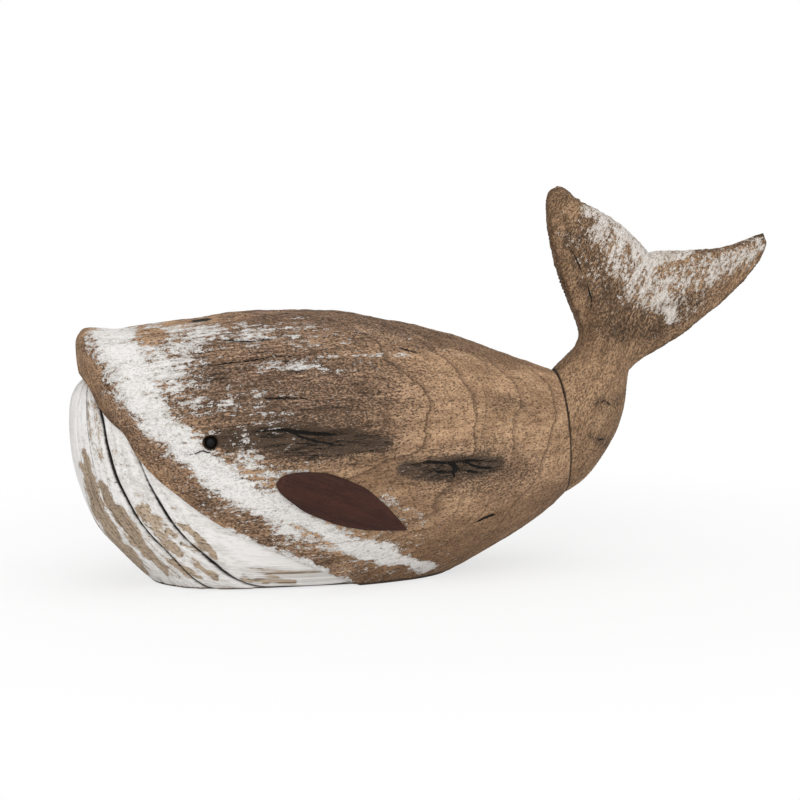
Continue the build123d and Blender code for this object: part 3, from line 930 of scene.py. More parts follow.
@dataclass(frozen=True)
class EyeBead:
    """Black glossy bead with faint dust."""

    colour: Colour = (0.006, 0.005, 0.005)
    dusty: Colour = (0.05, 0.045, 0.04)

    def material(self) -> bpy.types.Material:
        """Builds the material."""
        dust_edge, smoothest, dust_rough, sheen = (0.62, 0.8), 0.3, 0.2, 0.12
        material, sheet = new_material("eye bead")
        dust = sheet.noise(sheet.own_place(), DUST)
        shader = sheet.add("ShaderNodeBsdfPrincipled", {
            "Base Color": sheet.mix(dust.step(*dust_edge), self.colour, self.dusty),
            "Roughness": smoothest + dust * dust_rough,
            "Specular IOR Level": sheen,
        })
        sheet.node("ShaderNodeOutputMaterial", {"Surface": shader})
        return material


BODY_WOOD = OldWood(
    name="weathered body wood",
    light=(0.68, 0.436, 0.258), deep=(0.38, 0.228, 0.129), late=(0.13, 0.072, 0.042),
    worn=(0.60, 0.392, 0.272), stain=(0.098, 0.068, 0.050),
    paint=(0.82, 0.795, 0.77), dull_paint=(0.55, 0.51, 0.47), ring_width=0.0023, relief=0.0010,
)
THROAT_WOOD = OldWood(
    name="painted throat wood",
    light=(0.53, 0.42, 0.31), deep=(0.39, 0.30, 0.215), late=(0.26, 0.18, 0.12),
    worn=(0.40, 0.29, 0.20), stain=(0.08, 0.055, 0.04),
    paint=(0.83, 0.81, 0.79), dull_paint=(0.62, 0.59, 0.56),
    ring_strength=0.2, raggedness=0.8, crack_noise=0.5, relief=0.0005, bent_grain=True,
)
TAIL_WOOD = OldWood(
    name="weathered tail wood",
    light=(0.68, 0.432, 0.252), deep=(0.39, 0.236, 0.132), late=(0.14, 0.080, 0.047),
    worn=(0.50, 0.312, 0.195), stain=(0.09, 0.060, 0.044),
    paint=(0.88, 0.82, 0.76), dull_paint=(0.62, 0.53, 0.45),
    turn=62.0, pith=(0.02, 0.12), ring_width=0.0036, ring_strength=0.3, raggedness=1.1, relief=0.0016,
    pitting=0.5, open_pores=0.68, drawn_out=0.3,
)
FIN_WOOD = StainedWood(
    "dark fin wood", light=(0.060, 0.0205, 0.0130), dark=(0.036, 0.0120, 0.0086), turn=-22.0, roughness=0.62
)
PEG_WOOD = StainedWood("plain peg wood", light=(0.58, 0.43, 0.26), dark=(0.48, 0.33, 0.19), roughness=0.6)


# The body.


@dataclass(frozen=True)
class CarvedForm:
    """Carved form given by slices: place along X, top, widest height, underside and half width, in mm."""

    slices: tuple[tuple[float, float, float, float, float], ...]

    def at(self, x: np.ndarray) -> tuple[np.ndarray, np.ndarray, np.ndarray, np.ndarray]:
        """Top, widest height, underside and half width at places along X."""
        table = np.array(self.slices)
        return tuple(smooth_through(table[:, 0], table[:, column], x) for column in range(1, 5))


def egg_ring(form: CarvedForm, x: np.ndarray, angle: np.ndarray) -> np.ndarray:
    """Points on the left flank of a form.

    A slice is half an ellipse over another: the height is the widest height plus the reach above or
    below it times the cosine of the angle from the top, and the breadth is the half width times its sine.

    Args:
        form: The form.
        x: Place along X of each row.
        angle: Angle from the top, by row and then along the row.

    Returns:
        Points in millimetres, by row and then along the row.
    """
    top, side, under, half = (part[:, None] for part in form.at(x))
    cosine = np.cos(angle)
    height = side + np.where(cosine > 0, top - side, side - under) * cosine
    return np.stack([np.broadcast_to(x[:, None], angle.shape), -half * np.sin(angle), height], axis=-1)


def angle_at(form: CarvedForm, x: np.ndarray, height: np.ndarray) -> np.ndarray:
    """Angle from the top at which each slice of a form reaches a height, kept a little short of its underside."""
    shy_mm, shy_most = 4.0, 0.35
    top, side, under, half = form.at(x)
    drop = height - side
    reach = np.maximum(np.where(drop > 0, top - side, side - under), 1e-6)
    shy = np.minimum(shy_mm / np.maximum(half, 1e-3), shy_most)
    return np.clip(np.arccos(np.clip(drop / reach, -1.0, 1.0)), shy, math.pi - shy)


def both_flanks(flank: np.ndarray) -> np.ndarray:
    """Rings made of a left flank, given from top to bottom, and its mirror image back up."""
    return np.concatenate([flank, flank[:, ::-1] * MIRROR], axis=1)


def chord(edge: np.ndarray, shares: tuple[float, ...]) -> np.ndarray:
    """Level rows from an edge in to the middle: the edge's breadth times each share."""
    return np.stack([edge * np.array([1.0, share, 1.0]) for share in shares], axis=1)


@dataclass
class Eye:
    """Drilled eye hole on each flank, with a black bead set in it.

    Attributes:
        place: Middle of the left eye on the flank, in mm.
        turn: Degrees that it looks towards the head.
        tilt: Degrees that it looks up.
        hole: Radius of the hole.
        depth: Depth of the hole.
        bead: Radius of the bead.
        recess: Depth of the bead's crown under the flank.
        dome: Height of the crown.
        span: Distance along the eye's axis within which points are drilled.
        chamfer: Depth of the worn rim.
    """

    place: tuple[float, float, float] = (-136.8, -59.9, 89.1)
    turn: float = 10.0
    tilt: float = 6.0
    hole: float = 4.3
    depth: float = 5.0
    bead: float = 3.4
    recess: float = 1.6
    dome: float = 1.9
    span: float = 12.0
    chamfer: float = 0.5

    def axes(self) -> tuple[np.ndarray, np.ndarray, np.ndarray]:
        """Unit directions along the flank, up it and out of it."""
        turn, out = math.radians(self.turn), facing(self.turn, self.tilt)
        along = np.array([math.cos(turn), -math.sin(turn), 0.0])
        return along, np.cross(along, out), out

    def drill(self, points: np.ndarray) -> tuple[np.ndarray, np.ndarray]:
        """Sinks the holes into both flanks.

        Square rings of grid points round the eye are drawn into circles, so that one of them lies on the
        rim, and the points inside the rim are pushed in along the eye's axis.

        Args:
            points: The body's points in mm.

        Returns:
            The new points, and how far each one lies inside the hole, from 0 to 1, which sets the painted shade
            there.
        """
        pull_ends, pull_full = 2.4 * self.hole, 1.3 * self.hole
        rim, wall = (self.hole + 0.25, self.hole - 0.3), (self.hole + 1.4, self.hole + 0.1)
        hand = to_left(points)
        local = points * hand - np.array(self.place)
        along, up, out = self.axes()
        a, b, c = local @ along, local @ up, local @ out
        near = np.abs(c) < self.span
        square = np.maximum(np.abs(a), np.abs(b))
        ratio = square / np.maximum(np.hypot(a, b), 1e-6)
        pull = (ratio - 1.0) * smooth_step(pull_ends, pull_full, square) * near
        a_new, b_new = a * (1.0 + pull), b * (1.0 + pull)
        away = np.hypot(a_new, b_new)
        inside = smooth_step(*rim, away) * near
        sunk = self.depth * inside + self.chamfer * smooth_step(*wall, away) * near
        moved = (a_new - a)[..., None] * along + (b_new - b)[..., None] * up - sunk[..., None] * out
        return points + moved * hand, inside

    def beads(self, material: bpy.types.Material) -> None:
        """Turns the domed beads: a flat-backed disc whose front is part of a ball."""
        crown_rings, around, pole, back_pole, back = 14, 48, 0.15, 0.1, -self.depth + 0.1
        along, up, out = self.axes()
        angle = np.linspace(0.0, math.pi / 2, crown_rings)
        radius = np.concatenate([[pole], self.bead * np.sin(angle[1:]), [self.bead, 0.6 * self.bead, back_pole]])
        depth = np.concatenate([-self.recess - self.dome * (1.0 - np.cos(angle)), [back] * 3])
        sweep = np.linspace(0.0, 2 * math.pi, around, endpoint=False)[None, :, None]
        spokes = np.cos(sweep) * along + np.sin(sweep) * up
        left = np.array(self.place) + radius[:, None, None] * spokes + depth[:, None, None] * out
        for side, rings in (("left", left), ("right", left * MIRROR)):
            settle(closed_tube(f"{side}_eye_bead", rings, {}), material, "black_eye", f"{side}_eye")


LIP = (
    (-210.0, 126.5), (-206.0, 124.5), (-203.0, 121.0), (-199.7, 116.0), (-196.0, 107.5), (-190.2, 99.5),
    (-183.2, 93.0), (-177.0, 81.6), (-168.1, 70.5), (-153.6, 58.0), (-142.7, 49.3), (-129.3, 40.2),
    (-111.0, 30.0), (-97.1, 23.2), (-82.2, 15.7), (-68.9, 9.8), (-57.7, 4.5), (-48.0, 0.0), (-30.0, -8.0),
)


def lip_height(x: np.ndarray) -> np.ndarray:
    """Height of the lip at places along X, on a smooth curve through its points."""
    points = np.array(LIP)
    return smooth_through(points[:, 0], points[:, 1], x)


HEAD_PAINT = (
    Stroke(((112, 338, 27), (122, 358, 28), (135, 385, 25), (150, 410, 22), (172, 433, 21), (205, 464, 22),
            (245, 492, 21), (290, 520, 19), (335, 541, 16), (380, 555, 12), (428, 568, 6)), 0.97),
    Patch(168, 362, 46, 44, 10, 0.62), Patch(190, 400, 40, 30, 20, 0.42),
    Stroke(((150, 328, 12), (205, 334, 14), (262, 330, 11), (292, 334, 8)), 0.58),
    Stroke(((200, 452, 14), (240, 460, 15), (275, 470, 13), (310, 478, 8)), 0.52),
    Stroke(((215, 402, 8), (245, 404, 9), (262, 410, 6)), 0.46), Stroke(((255, 390, 6), (266, 412, 6)), 0.46),
    Stroke(((264, 366, 7), (290, 364, 8), (322, 368, 6)), 0.5), Patch(378, 352, 14, 8, -20, 0.42),
    Stroke(((385, 498, 8), (400, 512, 10), (425, 522, 6)), 0.44), Patch(290, 345, 130, 34, 2, 0.27),
    Patch(240, 400, 90, 60, 30, 0.29), Patch(300, 520, 140, 60, 25, 0.4), Patch(345, 545, 60, 14, 15, 0.45),
)
LIP_BARE = (Patch(155, 337, 11, 8, 0), Patch(312, 536, 30, 5, 25, 0.5))
WEATHERED = (
    Patch(285, 392, 125, 52, 2), Patch(215, 372, 60, 26, 0, 0.85), Patch(260, 345, 110, 18, 2, 0.8),
    Patch(330, 325, 140, 18, 6, 0.7), Patch(300, 550, 90, 14, 30, 0.5), Patch(300, 437, 100, 28, 0, 0.9),
    Stroke(((95, 350, 14), (125, 420, 14), (175, 475, 14), (250, 530, 13), (330, 565, 12)), 0.55),
    Patch(470, 470, 70, 26, 0, 0.4),
)
# Darker tones of the wood, and painted shade along the top outline and the lower rear outline, where the flank
# turns away from the light.
TONES_AND_SHADE = (
    Stroke(((190, 318, 14), (300, 312, 18), (420, 333, 18), (520, 362, 14)), 0.2),
    Stroke(((250, 309, 5), (330, 309, 6), (420, 329, 7), (500, 354, 7), (554, 369, 5)), 0.75),
    Stroke(((370, 575, 20), (430, 558, 30), (505, 528, 26), (560, 492, 14)), 0.85),
    Stroke(((86, 350, 10), (110, 410, 12), (160, 470, 12), (240, 530, 12), (330, 570, 10)), 0.35),
    Stroke(((82, 331, 5), (78, 350, 6), (84, 372, 6), (98, 398, 7), (114, 424, 7)), 0.65),
    Patch(400, 490, 50, 30, 20, 0.5), Patch(360, 420, 50, 30, 20, 0.4), Patch(512, 405, 26, 14, 0, 0.5),
    Patch(250, 400, 80, 30, 0, 0.3),
)
STAINS = (
    Stroke(((222, 437, 10), (258, 438, 17), (310, 438, 19), (350, 441, 15), (384, 443, 8)), 0.86),
    Stroke(((406, 470, 9), (432, 470, 14), (470, 468, 14), (502, 463, 7)), 0.8), Patch(456, 468, 66, 26, -3, 0.32),
    Patch(300, 440, 100, 24, 2, 0.35), Patch(512, 403, 22, 12, 0, 0.3), Patch(350, 425, 60, 12, 10, 0.3),
    Patch(330, 362, 70, 7, 2, 0.25), Patch(235, 352, 60, 8, 0, 0.25), Patch(200, 375, 40, 8, 0, 0.2),
)
HOLLOWS = (
    Hollow((-65.0, -62.8, 90.0), -0.5, 9.0, 2.0),
    Hollow((15.0, -52.9, 68.0), -12.0, -2.5, 1.4),
)
BODY_CRACKS = (
    Crack(((257, 431), (285, 430), (300, 432), (330, 434), (354, 433)), 1.0, 1.6),
    Crack(((290, 433), (315, 440), (350, 447)), 0.7, 0.8),
    Crack(((280, 453), (330, 456), (372, 451), (386, 446)), 0.45, 0.5),
    Crack(((409, 465), (430, 462), (448, 464), (470, 461), (496, 462)), 0.85, 1.3),
    Crack(((424, 470), (446, 473), (462, 471), (490, 474)), 0.8, 1.1),
    Crack(((449, 462), (457, 468), (456, 480)), 1.1, 1.3),
    Crack(((462, 462), (480, 468), (498, 468)), 0.7, 0.8),
    Crack(((256, 398), (275, 399), (300, 398), (318, 400)), 0.6, 0.6),
    Crack(((200, 367), (235, 362), (275, 356), (320, 354)), 0.4), Crack(((218, 338), (250, 340), (280, 336)), 0.4),
    Crack(((188, 320), (200, 319), (212, 318)), 0.7, 0.8), Crack(((392, 345), (410, 350), (425, 353)), 0.3),
    Crack(((180, 455), (200, 454), (214, 452)), 0.4), Crack(((476, 523), (489, 517), (498, 514)), 0.6),
)
BODY_SHAKE = Noise((14.0, 9.0, 9.0), 5)
BODY_LUMPS = Noise((48.0, 34.0, 34.0), 13, 2)
BODY_GRAIN = Noise((60.0, 3.2, 3.2), 11, 3)
BODY_ROUGH = Noise((9.0, 2.4, 2.4), 12, 3)
LIP_RAGGED = Noise((9.0, 9.0, 6.0), 8)
SNOUT_RAGGED = Noise((5.0, 5.0, 5.0), 9)


@dataclass
class Trunk:
    """Head and trunk: the carved block above the lip, sawn flat underneath and at the tail joint.

    Attributes:
        form: Its slices.
        joint_x: Place of the tail joint along X, at joint_height, in mm.
        joint_height: Height at which the joint doesn't lean.
        joint_lean: Degrees that the joint leans, from lean_from on.
        lean_from: Place along X from which slices begin to lean.
        lip_ends: Height of the lip's curve below which the trunk has no cut edge of its own.
        edge_radius: Round of the lip and of the edge of the base.
        joint_radius: Round of the edge at the joint.
        joint_reach: How far the last ring goes past the joint, to leave no gap.
        rows: Points from the ridge to the edge.
        spacing: Widest spacing of the rings.
        eye: The eyes.
    """

    form: CarvedForm = CarvedForm((
        (-205.6, 139.0, 138.9, 138.8, 0.0), (-205.0, 142.0, 138.0, 130.0, 6.0),
        (-203.5, 145.0, 133.0, 120.0, 12.5), (-200.0, 147.8, 123.0, 96.0, 22.0),
        (-194.0, 148.2, 112.0, 66.0, 32.0), (-184.0, 147.0, 101.0, 32.0, 43.0),
        (-165.0, 149.5, 90.0, -2.0, 54.0), (-135.0, 153.0, 80.0, -20.0, 61.5),
        (-100.0, 156.0, 75.0, -23.0, 64.5), (-60.0, 155.6, 73.0, -22.0, 64.0),
        (-20.0, 148.3, 72.0, -13.0, 60.0), (15.0, 139.2, 73.0, 1.2, 53.0),
        (45.0, 129.0, 76.0, 17.6, 43.5), (65.0, 122.0, 77.7, 30.4, 36.3), (80.0, 116.4, 79.5, 42.6, 29.5),
    ))
    joint_x: float = 80.0
    joint_height: float = 79.2
    joint_lean: float = 4.0
    lean_from: float = 20.0
    lip_ends: float = -6.0
    edge_radius: float = 2.0
    joint_radius: float = 1.0
    joint_reach: float = 0.15
    rows: int = 200
    spacing: float = 1.7
    eye: Eye = field(default_factory=Eye)

    def stations(self) -> np.ndarray:
        """Places along X: close together at the nose, the eye and the joint."""
        nose_gap, eye_gap, joint_gap, eye_reach, samples = 0.1, 0.55, 0.4, 7.0, 4000
        nose_growth, eye_growth, joint_growth = 0.2, 0.1, 0.25
        even = np.linspace(self.form.slices[0][0], self.joint_x, samples)
        gap = np.minimum(self.spacing, nose_gap + nose_growth * np.sqrt(even - even[0]))
        past_eye = np.maximum(np.abs(even - self.eye.place[0]) - eye_reach, 0.0)
        gap = np.minimum(gap, eye_gap + eye_growth * past_eye)
        gap = np.minimum(gap, joint_gap + joint_growth * (self.joint_x - even))
        return spaced(even[0], even[-1], gap)

    def flank(self, x: np.ndarray) -> tuple[np.ndarray, np.ndarray]:
        """Left flank from the ridge to the lip or the base, then level to the middle.

        Args:
            x: Places along X.

        Returns:
            The points, and each point's distance along its slice from the sawn or lipped edge.
        """
        eye_share, eye_half, eye_gap, widest_gap, growth, flank_length = 0.755, 0.035, 0.6, 1.35, 14.0, 160.0
        end = angle_at(self.form, x, np.maximum(lip_height(x), 0.0))
        even = np.linspace(0.0, 1.0, 3000)
        gap = np.minimum(widest_gap, eye_gap + growth * np.maximum(np.abs(even - eye_share) - eye_half, 0.0))
        shares = spaced(0.0, 1.0, gap / flank_length)
        shares = np.interp(np.linspace(0.0, 1.0, self.rows), np.linspace(0.0, 1.0, len(shares)), shares)
        points = egg_ring(self.form, x, end[:, None] * shares[None, :])
        so_far = running_length(points)
        from_edge = so_far[:, -1:] - so_far
        inner = chord(points[:, -1], (0.9, 0.6, 0.2))
        level = np.zeros(inner.shape[:2])
        return np.concatenate([points, inner], axis=1), np.concatenate([from_edge, level], axis=1)

    def paint(self, drawing: Drawing) -> np.ndarray:
        """Paint on the head: as drawn, thinner on the lip, worn off the snout, smeared over the lip's rear."""
        front_to_rear, snout_x, snout_fade, smear_places = (-205.0, -110.0), -206.0, (1.0, 6.0), (-160.0, -115.0)
        lip_ragged, snout_ragged, smear_heights, smear_strength = 3.0, 1.5, (4.6, 0.6), 0.9
        points, x = drawing.points, drawing.points[..., 0]
        over_lip = points[..., 2] - lip_height(x) + lip_ragged * LIP_RAGGED.at(points)
        rear = smooth_step(*front_to_rear, x)
        lip_width, fade_width, lip_share = 3.5 + 3.5 * rear, 4.5 + 4.0 * rear, 0.5 + 0.28 * rear
        on_flank = smooth_step(0.0, 1.0, (over_lip - lip_width) / fade_width)
        snout = smooth_step(*snout_fade, x - snout_x + snout_ragged * SNOUT_RAGGED.at(points))
        paint = drawing.strongest(HEAD_PAINT, pixels=5.0) * (lip_share + (1.0 - lip_share) * on_flank) * snout
        smeared = smear_strength * smooth_step(*smear_places, x) * smooth_step(*smear_heights, over_lip)
        return np.maximum(paint * (1.0 - drawing.strongest(LIP_BARE, pixels=0.0)), smeared)

    def relief(self, points: np.ndarray, upward: np.ndarray, weather: np.ndarray, stain: np.ndarray) -> np.ndarray:
        """Height in mm of lumps, grain and roughness.

        Args:
            points: Places in mm.
            upward: How far each point faces up.
            weather: How weathered it is, which deepens the grain.
            stain: How stained it is, which roughens it, as lying on the ridge does.

        Returns:
            One height for each point.
        """
        lump_height, ridge_slopes = 0.45, (0.6, 0.95)
        grain_height = 0.12 + 0.22 * weather
        rough_height = 0.12 + 0.12 * weather + 0.25 * stain + 0.2 * smooth_step(*ridge_slopes, upward)
        lumps = lump_height * BODY_LUMPS.at(points)
        return lumps + grain_height * BODY_GRAIN.at(points) + rough_height * BODY_ROUGH.at(points)

    def build(self, material: bpy.types.Material, eye_material: bpy.types.Material) -> None:
        """Carves the flanks, sinks checks, hollows and eye holes into them and sets the beads."""
        cap_shares, foot_heights, base_darkening, hole_shade = (0.93, 0.6, 0.25), (2.2, 1.0), 0.9, 0.75
        edge_fade, joint_fade, nose_fade = 3.0, 3.0, 2.0
        x = self.stations()
        flank, from_edge = self.flank(x)
        rings, edge = both_flanks(flank), there_and_back(from_edge)
        lean = math.tan(math.radians(self.joint_lean)) * smooth_step(self.lean_from, self.joint_x, rings[..., 0])
        rings[..., 0] -= lean * (rings[..., 2] - self.joint_height)
        normals, drawing = outward_normals(rings), Drawing(rings, BODY_SHAKE)
        to_joint = (self.joint_x - x)[:, None]
        cut = (lip_height(x) > self.lip_ends) | (self.form.at(x)[2] < 0.0)
        rounded = rounding(edge, self.edge_radius) * (cut[:, None] & (edge > 0.0))
        rounded = np.maximum(rounded, rounding(to_joint, self.joint_radius))
        weather, stain = drawing.strongest(WEATHERED, pixels=6.0), drawing.strongest(STAINS, pixels=3.0)
        # The tone mark carries darker tones and painted shade along the outlines.
        paint, tone_and_shade = self.paint(drawing), drawing.strongest(TONES_AND_SHADE, pixels=6.0)
        cracked, outside = drawing.checks(BODY_CRACKS)
        relief = self.relief(rings, normals[..., 2], weather, stain) - cracked
        fade = smooth_step(0.0, edge_fade, edge) * smooth_step(0.0, joint_fade, to_joint)
        fade *= smooth_step(0.0, nose_fade, x - x[0])[:, None]
        for hollow in HOLLOWS:
            rings = hollow.scoop(rings)
        shift = normals * (relief * fade - rounded)[..., None]
        shift[-1, :, 0] = self.joint_reach
        rings = rings + shift
        rings[..., 2] = np.maximum(rings[..., 2], 0.0)
        rings, holes = self.eye.drill(rings)
        middle = rings[-1].mean(axis=0)
        cap = np.stack([middle + (rings[-1] - middle) * share for share in cap_shares])
        # Darker towards the base over about the lowest two millimetres, where no paint is kept either.
        foot = smooth_step(*foot_heights, rings[..., 2])
        # Painted shade along the joint with the tail.
        seam = np.broadcast_to(smooth_step(*SEAM_FADE, to_joint), foot.shape)
        # Painted shade inside the eye holes joins the base and joint darkening in the stain mark.
        dark = np.maximum(np.maximum(base_darkening * foot, hole_shade * holes), SEAM_SHADE * seam)
        marks = {
            "paint": paint * (1.0 - foot) * (1.0 - holes), "weather": weather,
            "stain": np.maximum(stain, dark), "tone_and_shade": -tone_and_shade, "crack": outside,
        }
        for name, values in marks.items():
            marks[name] = np.concatenate([values, np.repeat(values[-1:], len(cap), axis=0)])
        piece = closed_tube("carved_head_and_trunk", np.concatenate([rings, cap]), marks)
        settle(piece, material, "weathered_wood", "body")
        self.eye.beads(eye_material)


THROAT_PAINT_GAPS = (
    Stroke(((84, 452, 3), (88, 475, 6), (98, 508, 7), (112, 534, 7), (128, 552, 6), (145, 571, 4)), 0.8),
    Stroke(((101, 484, 3), (110, 500, 6), (122, 520, 7), (135, 538, 7), (150, 556, 5), (168, 573, 3)), 0.8),
    Stroke(((140, 508, 5), (152, 521, 9), (165, 537, 9), (180, 554, 5)), 0.62),
    Stroke(((180, 524, 3), (196, 537, 5), (216, 556, 3)), 0.72),
    Stroke(((172, 560, 3), (186, 570, 4), (200, 578, 2)), 0.65), Stroke(((196, 566, 3), (216, 577, 4)), 0.65),
    Stroke(((245, 579, 5), (270, 580, 6), (295, 583, 4)), 0.6), Patch(300, 575, 60, 8, 5, 0.35),
    Patch(95, 420, 12, 70, 0, 0.3), Patch(180, 550, 70, 40, 45, 0.3), Patch(130, 470, 30, 60, -20, 0.22),
)
THROAT_SHAKE = Noise((9.0, 4.0, 9.0), 25)
THROAT_SWELL = Noise((50.0, 8.0, 40.0), 23, 2)
THROAT_GRAIN = Noise((8.0, 1.6, 8.0), 24, 3)
KERF_LINE = Noise((60.0, 60.0, 28.0), 21, 2)
KERF_WIDTH = Noise((30.0, 60.0, 26.0), 40, 2)


@dataclass
class Throat:
    """Throat that bulges forward under the lip, with pleats between sawn kerfs.

    Attributes:
        form: Its slices.
        kerfs: Place across the whale on the throat and at the base, half width and depth of each kerf, in mm.
        gather: Height over which the kerfs draw apart under the snout.
        snout: Height at which they meet.
        turn_in: Height above the base at which they turn in to their places there.
        tuck: How far the throat goes on behind the lip.
        edge_radius: Round of the edge of the base.
        end_x: Place along X at which it ends inside the trunk.
        rows: Points from the lip to the base.
    """

    form: CarvedForm = CarvedForm((
        (-209.6, 95.0, 94.9, 94.8, 0.0), (-209.2, 103.0, 94.0, 84.0, 8.0), (-207.5, 111.0, 91.0, 69.0, 15.0),
        (-203.0, 117.6, 88.0, 52.5, 23.5), (-195.0, 122.4, 85.0, 34.0, 32.5), (-184.0, 126.0, 82.0, 21.0, 40.0),
        (-165.0, 128.0, 79.0, 2.0, 48.5), (-135.0, 130.0, 76.0, -19.0, 57.0), (-100.0, 132.0, 73.0, -24.0, 60.5),
        (-60.0, 132.0, 71.0, -23.0, 60.0), (-20.0, 130.0, 70.0, -16.0, 55.5),
    ))
    kerfs: tuple[tuple[float, float, float, float], ...] = (
        (6.1, 5.2, 0.2, 1.0), (12.0, 10.0, -0.1, 0.4), (18.1, 14.8, 0.2, 1.2), (23.0, 19.0, -0.1, 0.5),
        (27.8, 22.5, 0.08, 1.3), (32.0, 28.5, -0.2, 0.3), (37.0, 34.0, 0.4, 2.4), (46.0, 38.5, 0.3, 2.2),
    )
    gather: float = 14.0
    snout: float = 124.0
    turn_in: float = 26.0
    tuck: float = 9.0
    edge_radius: float = 1.4
    end_x: float = -47.0
    rows: int = 165

    def stations(self) -> np.ndarray:
        """Places along X, close together at the front."""
        widest_gap, nose_gap, growth, samples = 0.78, 0.06, 0.13, 3000
        even = np.linspace(self.form.slices[0][0], self.end_x, samples)
        return spaced(even[0], even[-1], np.minimum(widest_gap, nose_gap + growth * np.sqrt(even - even[0])))

    def kerf_depth(self, points: np.ndarray) -> tuple[np.ndarray, np.ndarray, np.ndarray]:
        """Depth of the kerfs' grooves, the distance from the nearest kerf's edge and the place across.

        A kerf lies where the breadth, divided by how far the kerfs have drawn apart at that height, is
        the kerf's own place. They draw apart as 1 - exp(-(snout - height) / gather), and turn in from
        their place on the throat to the one at the base.

        Args:
            points: Places in mm.

        Returns:
            Depth in mm, distance in mm that is negative inside a kerf, and the drawn-apart breadth in mm.
        """
        least_apart, bend, ragged, shoulder = 0.05, 0.5, 0.22, (0.9, -0.5)
        apart = 1.0 - np.exp(-np.maximum(self.snout - points[..., 2], 0.5) / self.gather)
        apart = np.maximum(apart, least_apart)
        free = smooth_step(-0.3 * self.turn_in, self.turn_in, points[..., 2])
        across = np.abs(points[..., 1]) / apart + bend * KERF_LINE.at(points)
        depth, outside = np.zeros(across.shape), np.full(across.shape, FAR_FROM_CRACK)
        for place, base, half, deep in self.kerfs:
            middle = base + (place - base) * free
            own_noise = replace(KERF_WIDTH, seed=KERF_WIDTH.seed + int(place))
            away = np.abs(across - middle) * np.minimum(apart, 1.0) - (half + ragged * own_noise.at(points))
            depth = np.maximum(depth, deep * smooth_step(*shoulder, away))
            outside = np.minimum(outside, away)
        return depth, outside, across

    def build(self, material: bpy.types.Material) -> None:
        """Carves the pleats and saws the kerfs between them."""
        far, lowest, foot_heights, grain_apart = 99.0, 0.05, (1.9, 0.8), 60.0
        swell_height, grain_height, clean, bared, worn, base_darkening = 0.35, 0.08, 0.97, 1.1, 0.1, 0.8
        x = self.stations()
        top = self.form.at(x)[0]
        start = angle_at(self.form, x, np.minimum(lip_height(x) + self.tuck, top - 0.5))
        end = angle_at(self.form, x, np.zeros(len(x)))
        shares = np.linspace(0.0, 1.0, self.rows)
        flank = egg_ring(self.form, x, start[:, None] + (end - start)[:, None] * shares)
        from_top = running_length(flank)
        above, below = chord(flank[:, 0], (0.3, 0.8)), chord(flank[:, -1], (0.9, 0.5, 0.15))
        hidden, sawn = np.zeros(above.shape[:2]), np.zeros(below.shape[:2])
        rings = both_flanks(np.concatenate([above, flank, below], axis=1))
        base = there_and_back(np.concatenate([hidden + far, from_top[:, -1:] - from_top, sawn], axis=1))
        live = there_and_back(np.concatenate([hidden, np.ones(flank.shape[:2]), sawn], axis=1))
        depth, outside, across = self.kerf_depth(rings)
        swell = swell_height * THROAT_SWELL.at(rings) + grain_height * THROAT_GRAIN.at(rings)
        carved = (swell - depth - rounding(base, self.edge_radius)) * live
        rings = rings + outward_normals(rings) * carved[..., None]
        rings[..., 2] = np.maximum(rings[..., 2], lowest)
        # Darker towards the base over about the lowest two millimetres, where no paint is kept either.
        foot = smooth_step(*foot_heights, rings[..., 2])
        gaps = Drawing(rings, THROAT_SHAKE).strongest(THROAT_PAINT_GAPS, pixels=3.0)
        # The crack mark is the distance from the kerfs' edges; the finish paints shade inside them.
        marks = {
            "paint": (clean - bared * gaps) * (1.0 - foot), "weather": worn * gaps, "stain": base_darkening * foot,
            "crack": outside,
        }
        runs = np.stack([rings[..., 2], across, grain_apart * np.sign(rings[..., 1])], axis=-1)
        settle(closed_tube("grooved_throat", rings, marks, runs), material, "weathered_wood", "body")


# The tail.


TAIL_SHAKE = Noise((8.0, 8.0, 8.0), 51)
TAIL_LUMPS = Noise((30.0, 30.0, 30.0), 53, 2)
TAIL_GRAIN = Noise((26.0, 2.4, 2.4), 54, 3)
TAIL_CHIPS = Noise((5.0, 2.2, 2.2), 55, 3)


